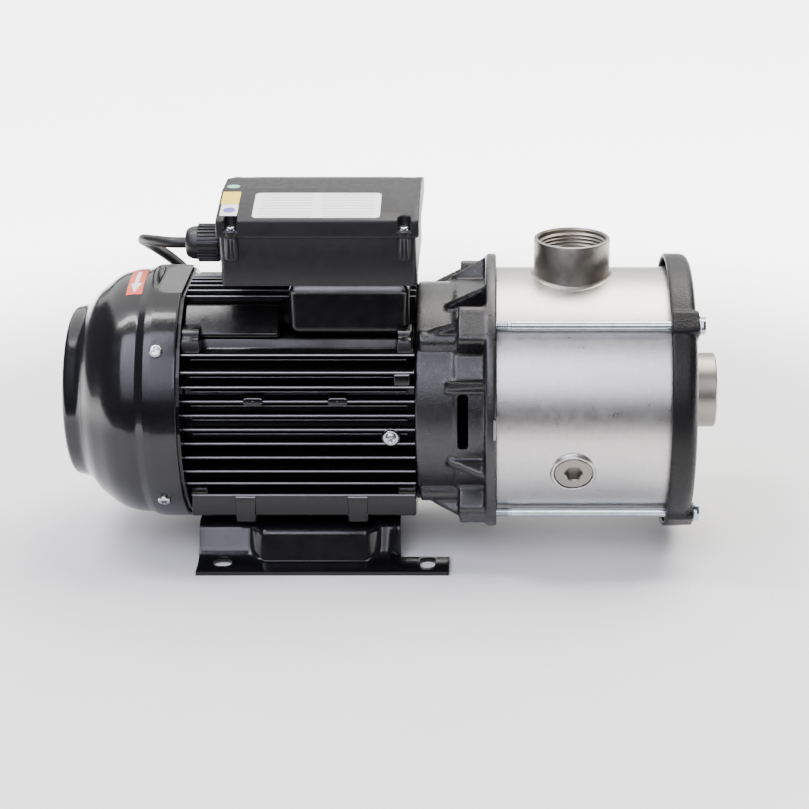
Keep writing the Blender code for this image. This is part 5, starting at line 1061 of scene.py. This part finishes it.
# Inlet: a stainless plate over the barrel's end with a threaded socket through the cover's middle.
# It is pressed against the barrel by the end cover.
mouth_x, plate_left, plate_right, cover_face = 0.2057, 0.1753, 0.1773, 0.1880
bm = bmesh.new()
lathe(bm, [(plate_left, port_bore), (plate_left, 0.0790), (plate_right, 0.0790), (plate_right, port_radius),
           (mouth_x - 0.0008, port_radius), (mouth_x, port_radius - 0.0008), (mouth_x, port_bore + 0.0010),
           (mouth_x - 0.0010, port_bore + 0.0002), (plate_left, port_bore)], 128, on_shaft)
lathe(bm, [(0.1611, 0.0640), (0.1611, 0.0660), (plate_left + 0.0002, 0.0660), (plate_left + 0.0002, 0.0640),
           (0.1611, 0.0640)], 96, on_shaft)
inlet_thread = threaded("inlet_thread", port_bore + 0.0002, pipe_pitch, 7.5, thread_depth, port_steel,
                        on_shaft @ Matrix.Translation((mouth_x - thread_start - 7.5 * pipe_pitch, 0.0, 0.0))
                        @ Matrix.Rotation(pi / 2, 4, "Y"))
dressed(joined("inlet_socket", welded("inlet_wall", bm), inlet_thread), port_steel, ["inlet_plate"],
        35.0)

# End cover: a thin-walled iron cup in textured black paint, open towards the barrel, with four bosses for the
# tie bolts. It holds the inlet plate on the barrel's end.
cover_left, cover_corner, cover_floor = 0.1715, 0.0060, cover_face - 0.0040
bm = bmesh.new()
lathe(bm, [(cover_left, 0.0852), (cover_left + 0.0004, 0.0878), (cover_left + 0.0014, flange_radius),
           *((cover_face - cover_corner * (1 - sin(radians(a))), flange_radius - cover_corner * (1 - cos(radians(a))))
             for a in range(0, 91, 15)),
           (cover_face, 0.0243), (cover_floor, 0.0243), (cover_floor, 0.0710), (plate_right + 0.0003, 0.0710),
           (plate_right + 0.0003, 0.0797), (cover_floor, 0.0797), (cover_floor, 0.0848), (cover_left, 0.0852)], 192,
      on_shaft)
cover_boss = rounded(oblong(-0.0900, -0.0797, -0.0080, 0.0080), [0.0025, 0, 0, 0.0025], 6, True)
for angle in tie_angles:
    prism(bm, cover_boss, cover_left + 0.0010, cover_face + 0.0010, place=round_shaft(angle))
cover_cup = sand_cast("cover_cup", bm, 0.0010, 5)
bm = bmesh.new()
tie_holes(bm, cover_left - 0.002, cover_face + 0.003)
cut_by(cover_cup, loose("cover_holes", bm))
# Textured powder coat: dark grey-black with a coarse pimpled skin that glitters a little
cover_coat = speckled("textured_black_powder_coat", {"IOR": 1.36}, ("0a0a0b", "171718"), 3.0, (0.28, 0.44), 2.0, 1.2,
                      0.00025)
dressed(cover_cup, cover_coat, ["end_cover"], 60.0)

# Tie bolts: zinc-plated steel rods that clamp cover, barrel and bracket together. Each is threaded where it
# enters the bracket and has a flanged hexagon head on the cover.
tie_radius, tie_core, tie_seat = 0.0030, 0.0026, 0.1890
# Blue-passivated zinc: bright and cool
tie_zinc = speckled("blue_zinc_plating", {"Metallic": 1.0}, ("9fa6b0", "d4dae2"), 6.0, (0.08, 0.16), 4.0, 0.8,
                    0.00001)
bm = bmesh.new()
prism(bm, circle(0.0, 0.0, 0.0057, 6), 0.0003, 0.0041, edge=0.0005)
lathe(bm, [(-0.1440, 0.0), (-0.1440, 0.0022), (-0.1436, tie_core), (-0.1150, tie_core), (-0.1146, tie_radius),
           (0.0010, tie_radius), (0.0010, 0.0)], 32)
lathe(bm, [(0.0002, 0.0030), (0.0002, 0.0061), (0.0007, 0.0063), (0.0011, 0.0058), (0.0011, 0.0030)], 48)
tie_mesh = joined("tie_template", loose("tie_head", bm), threaded(
    "tie_thread", tie_core, 0.0010, 27, 0.0004, tie_zinc,
    Matrix.Translation((-0.1434, 0.0, 0.0)) @ Matrix.Rotation(pi / 2, 4, "Y"))).data
bpy.data.objects.remove(bpy.data.objects["tie_template"])
for number, angle in enumerate(tie_angles, 1):
    bm = bmesh.new()
    bm.from_mesh(tie_mesh)
    bm.transform(round_shaft(angle) @ Matrix.Translation((tie_seat, -tie_centre, 0.0)))
    dressed(loose(f"tie_rod_{number}", bm), tie_zinc, [f"tie_bolt_{number}"], 35.0)

# Terminal box: a moulded base in dark grey plastic on the frame's pedestal, screwed down from inside. Half-round
# columns at its corners take the lid's screws, and the gland's hole is in its left wall.
box_left, box_right, box_half, box_low, box_high, box_wall = -0.1028, 0.0162, 0.0500, 0.1840, 0.2150, 0.0025
screw_x, screw_y, column_radius, rib_pitch = (box_left + 0.0070, box_right - 0.0070), 0.0485, 0.0046, 0.0021
lid_low, lid_high, lid_over, lid_skirt, lid_top_half, lid_ledge = 0.2153, 0.2350, 0.0020, 0.0107, 0.0135, 0.0040

# Moulded glass-filled nylon: dark grey with a violet cast, a spark-eroded matt grain all over, and a painted
# highlight on its upper edges
box_nylon = speckled("dark_glass_filled_nylon", {"IOR": 1.46}, ("0f0e11", "151417"), 12.0, (0.40, 0.52), 5.0, 0.6,
                     0.00005, "56555b")


def box_outline(inset, radius):
    """The base's outline from above, moved in and with rounded corners."""
    half = box_half - inset
    return rounded(oblong(box_left + inset, box_right - inset, -half, half), radius, 5, True)


bm = bmesh.new()
prism(bm, box_outline(0.0, 0.0030), box_low, box_high, "Z")
box_tub = loose("box_tub", bm)
bm = bmesh.new()
prism(bm, box_outline(box_wall, 0.0015), box_low + box_wall, box_high + 0.0010, "Z")
on_gland = Matrix.Translation((0.0, 0.0, gland_z))
lathe(bm, [(box_left - 0.001, 0.0), (box_left - 0.001, 0.0101), (box_left + 0.004, 0.0101), (box_left + 0.004, 0.0)],
      48, on_gland)
softened(cut_by(box_tub, loose("box_hollow", bm), True), 0.0006, 2)
column = bmesh.new()
prism(column, circle(0.0, 0.0, column_radius, 32), -0.0140, 0.0, "Z", 0.0006, 2)
for x in (-rib_pitch, 0.0, rib_pitch):
    prism(column, oblong(x - 0.0004, x + 0.0004, -0.0051, -0.0030), -0.0135, -0.0006, "Z", 0.0002, 1)
corners = [(x, side) for x in screw_x for side in (-1, 1)]
columns = repeated("box_columns", column, box_nylon, [(x, side * screw_y, box_high) for x, side in corners], None,
                   [(1.0, -side, 1.0) for x, side in corners])
# The base's upper edges take a painted highlight
box_base = mark_edge_highlights(joined("box_base", box_tub, columns))
dressed(box_base, box_nylon, ["terminal_box_base"], 30.0)

# Lid: moulded in the same plastic, with a skirt, two sloping faces and a flat top. Each corner has a notch whose
# ledge carries its screw, and the base's column goes on up the skirt under it.
bm = bmesh.new()
half_lid = box_half + lid_over


def lid_section(wall, low):
    """The lid's section across the pump, moved in by a wall and open down to a height."""
    half, shoulder, top = half_lid - wall, lid_low + lid_skirt - wall, lid_high - wall
    return [(-half, low), (-half, shoulder), (-lid_top_half, top), (lid_top_half, top), (half, shoulder), (half, low)]


prism(bm, lid_section(0.0, lid_low), box_left - lid_over, box_right + lid_over)
lid_shell = loose("lid_shell", bm)
bm = bmesh.new()
prism(bm, lid_section(box_wall, lid_low - 0.001), box_left + 0.0141, box_right - 0.0141)
notch = 0.0038
for x, side in corners:
    mouth = [(x - notch, side * 0.0600), (x - notch, side * screw_y)]
    mouth += [(x - notch * cos(pi * k / 12), side * (screw_y - notch * sin(pi * k / 12))) for k in range(1, 12)]
    mouth += [(x + notch, side * screw_y), (x + notch, side * 0.0600)]
    prism(bm, mouth, lid_low + lid_ledge, lid_high, "Z")
softened(cut_by(lid_shell, loose("lid_cuts", bm)), 0.0013, 3)
column = bmesh.new()
prism(column, circle(0.0, 0.0, column_radius, 32), lid_low, lid_low + lid_ledge, "Z", 0.0005, 3)
skirt_columns = repeated("skirt_columns", column, box_nylon, [(x, side * screw_y, 0.0) for x, side in corners])
# The lid's upper edges take a painted highlight
box_lid = mark_edge_highlights(joined("box_lid", lid_shell, skirt_columns))
dressed(box_lid, box_nylon, ["terminal_box_lid"], 30.0)
for number, (x, side) in zip((3, 1, 4, 2), corners):
    screw(f"lid_pan_screw_{number}", f"lid_screw_{number}",
          Matrix.Translation((x, side * screw_y, lid_low + lid_ledge + 0.0001)) @ Matrix.Rotation(-pi / 2, 4, "Y"),
          0.5 * number, 0.0034, 0.0023, 0.0018, 0.0118)

# Stickers: printed film on the lid's front slope and top. The large one has plain ruled lines where a rating plate
# would be filled in, and the others are plain colours.
slope = atan2(lid_high - lid_low - lid_skirt, half_lid - lid_top_half)
on_slope = Matrix.Translation((0.0, -lid_top_half, lid_high)) @ Matrix.Rotation(slope, 4, "X")


def sticker(name, left, right, low, high, radius, place, material, lift=0.00015):
    """A thin sheet with rounded corners on the lid, in metres along X and up a face."""
    bm = bmesh.new()
    prism(bm, rounded(oblong(left, right, low, high), radius, 8, True), lift - 0.00012, lift, "Z", place=place)
    dressed(loose(name, bm), material)


# Matt white film with ruled lines, in two columns
line_gap, line_half, plate_middle, column_away, column_half = 0.0034, 0.00028, -0.0443, 0.0188, 0.0158
plate_film, tree, shader, place = started("ruled_white_film", {"IOR": 1.50})
axes = add(tree, "ShaderNodeSeparateXYZ", {}, {0: place})
beat = add(tree, "ShaderNodeMath", {"operation": "PINGPONG"}, {0: axes.outputs["Y"], 1: line_gap / 2})
ruled = add(tree, "ShaderNodeMath", {"operation": "LESS_THAN"}, {0: beat.outputs[0], 1: line_half})
off_middle = add(tree, "ShaderNodeMath", {"operation": "SUBTRACT"}, {0: axes.outputs["X"], 1: plate_middle})
reach = add(tree, "ShaderNodeMath", {"operation": "ABSOLUTE"}, {0: off_middle.outputs[0]})
in_column = add(tree, "ShaderNodeMath", {"operation": "COMPARE"},
                {0: reach.outputs[0], 1: column_away, 2: column_half})
printed = add(tree, "ShaderNodeMath", {"operation": "MULTIPLY"}, {0: ruled.outputs[0], 1: in_column.outputs[0]})
tint = add(tree, "ShaderNodeMix", {"data_type": "RGBA"},
           {0: printed.outputs[0], 6: linear("fafafc"), 7: linear("a6a6ac")})
sheen = add(tree, "ShaderNodeTexNoise", {}, {"Vector": place, "Scale": 160.0})
gloss = add(tree, "ShaderNodeMapRange", {}, {"Value": sheen.outputs["Fac"], "To Min": 0.38, "To Max": 0.54})
wire(tree, shader, {"Base Color": tint.outputs[2], "Roughness": gloss.outputs[0]})
sticker("plate_sticker", -0.0830, -0.0056, -0.0361, -0.0046, 0.0030, on_slope, plate_film)
# Coloured films: the same sheen as the red one on the cowl
sticker("yellow_sticker", -0.1033, -0.0923, -0.0190, -0.0031, 0.0006, on_slope,
        vinyl("yellow_vinyl", ("f2d233", "fadd48")))
sticker("white_sticker", -0.1027, -0.0922, -0.0336, -0.0192, 0.0006, on_slope, print_white)
sticker("blue_spot", -0.1012, -0.0937, -0.0296, -0.0236, 0.0030, on_slope, vinyl("blue_vinyl", ("6464b0", "7474bf")),
        0.00022)
sticker("green_spot", -0.1022, -0.0942, -0.0105, -0.0025, 0.0040, Matrix.Translation((0.0, 0.0, lid_high)),
        vinyl("green_vinyl", ("86cf9f", "98e0b1")))

# Cable gland: a moulded body screwed through the box's wall and a domed nut with lengthwise ribs that squeezes
# a seal round the lead
gland_bore, rib_count = 0.0040, 28
# Black nylon: a satin shine with a faint moulded grain
gland_nylon = speckled("black_gland_nylon", {"IOR": 1.53}, ("121214", "1c1c1e"), 6.0, (0.32, 0.45), 4.0, 0.7, 0.00004)
gland_collar = turned("gland_collar", [
    (-0.1088, gland_bore), (-0.1088, 0.0116), (-0.1083, 0.0122), (-0.1036, 0.0122), (-0.1031, 0.0116),
    (-0.1031, 0.0098), (-0.0963, 0.0098), (-0.0961, gland_bore), (-0.1088, gland_bore)], 48, on_gland)
dressed(gland_collar, gland_nylon, ["gland_body"], 35.0)
dome = [(gland_mouth + 0.0075 * (1 - cos(radians(a))), 0.0072 + 0.0034 * sin(radians(a))) for a in range(0, 91, 10)]
nut_cap = turned("nut_cap", [
    (gland_mouth, 0.0041), *dome, (-0.1226, 0.0112), (-0.1094, 0.0112), (-0.1091, 0.0109), (-0.1091, 0.0041),
    (gland_mouth, 0.0041)], 64, on_gland)
rib = bmesh.new()
prism(rib, [(-0.0121, -0.0005), (-0.0100, -0.0008), (-0.0100, 0.0008), (-0.0121, 0.0005)], -0.1225, -0.1095,
      edge=0.0003)
ribs = repeated("nut_ribs", rib, gland_nylon, [(0.0, 0.0, gland_z)] * rib_count,
                [(2 * pi * k / rib_count, 0.0, 0.0) for k in range(rib_count)])
dressed(joined("gland_cap", nut_cap, ribs), gland_nylon, ["gland_nut"], 35.0)

# Inside, out of sight: stator, rotor, bearings, fan, seal and pump stages. Their CAD shapes stay, with the finish of
# stamped laminations, enamelled wire, ground steel, moulded plastic, ceramic and carbon.
for names, *finish in (
        (["stator_core", "rotor_core"], "stamped_laminations", {"Metallic": 0.9}, ("3d3c3c", "565452"), 2.0,
         (0.45, 0.60), 3.0, 0.5, 0.00004),
        (["stator_winding"], "enamelled_copper_wire", {"Metallic": 0.8}, ("8a3f1c", "b0602f"), 1.4, (0.28, 0.42), 2.0,
         0.9, 0.00020),
        (["shaft", "shaft_nut", *(f"{end}_{part}" for end in ("rear", "front")
                                  for part in ("bearing_outer", "bearing_inner", "ball_cage"))],
         "ground_bearing_steel", {"Metallic": 1.0}, ("8f9093", "b4b5b8"), 4.0, (0.14, 0.24), 3.0, 0.6, 0.00001),
        (["cooling_fan"], "moulded_polypropylene", {"IOR": 1.49}, ("19191b", "242427"), 8.0, (0.40, 0.52), 5.0, 0.8,
         0.00004),
        (["run_capacitor", *(f"{part}_{k}" for part in ("diffuser", "impeller") for k in (1, 2, 3))], "moulded_noryl",
         {"IOR": 1.57}, ("c4c2b8", "d6d4cb"), 9.0, (0.36, 0.48), 4.0, 0.7, 0.00003),
        (["seal_seat"], "lapped_alumina", {"IOR": 1.76}, ("dcd8cc", "ebe8df"), 6.0, (0.18, 0.28), 3.0, 0.4, 0.00001),
        (["seal_head"], "lapped_carbon", {"IOR": 1.80}, ("1d1d1f", "2c2c2f"), 3.0, (0.30, 0.42), 2.0, 0.5, 0.00002)):
    refinished(speckled(*finish), *names)

# The box of all that is shown of the pump, floor and carpet aside
low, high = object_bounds()
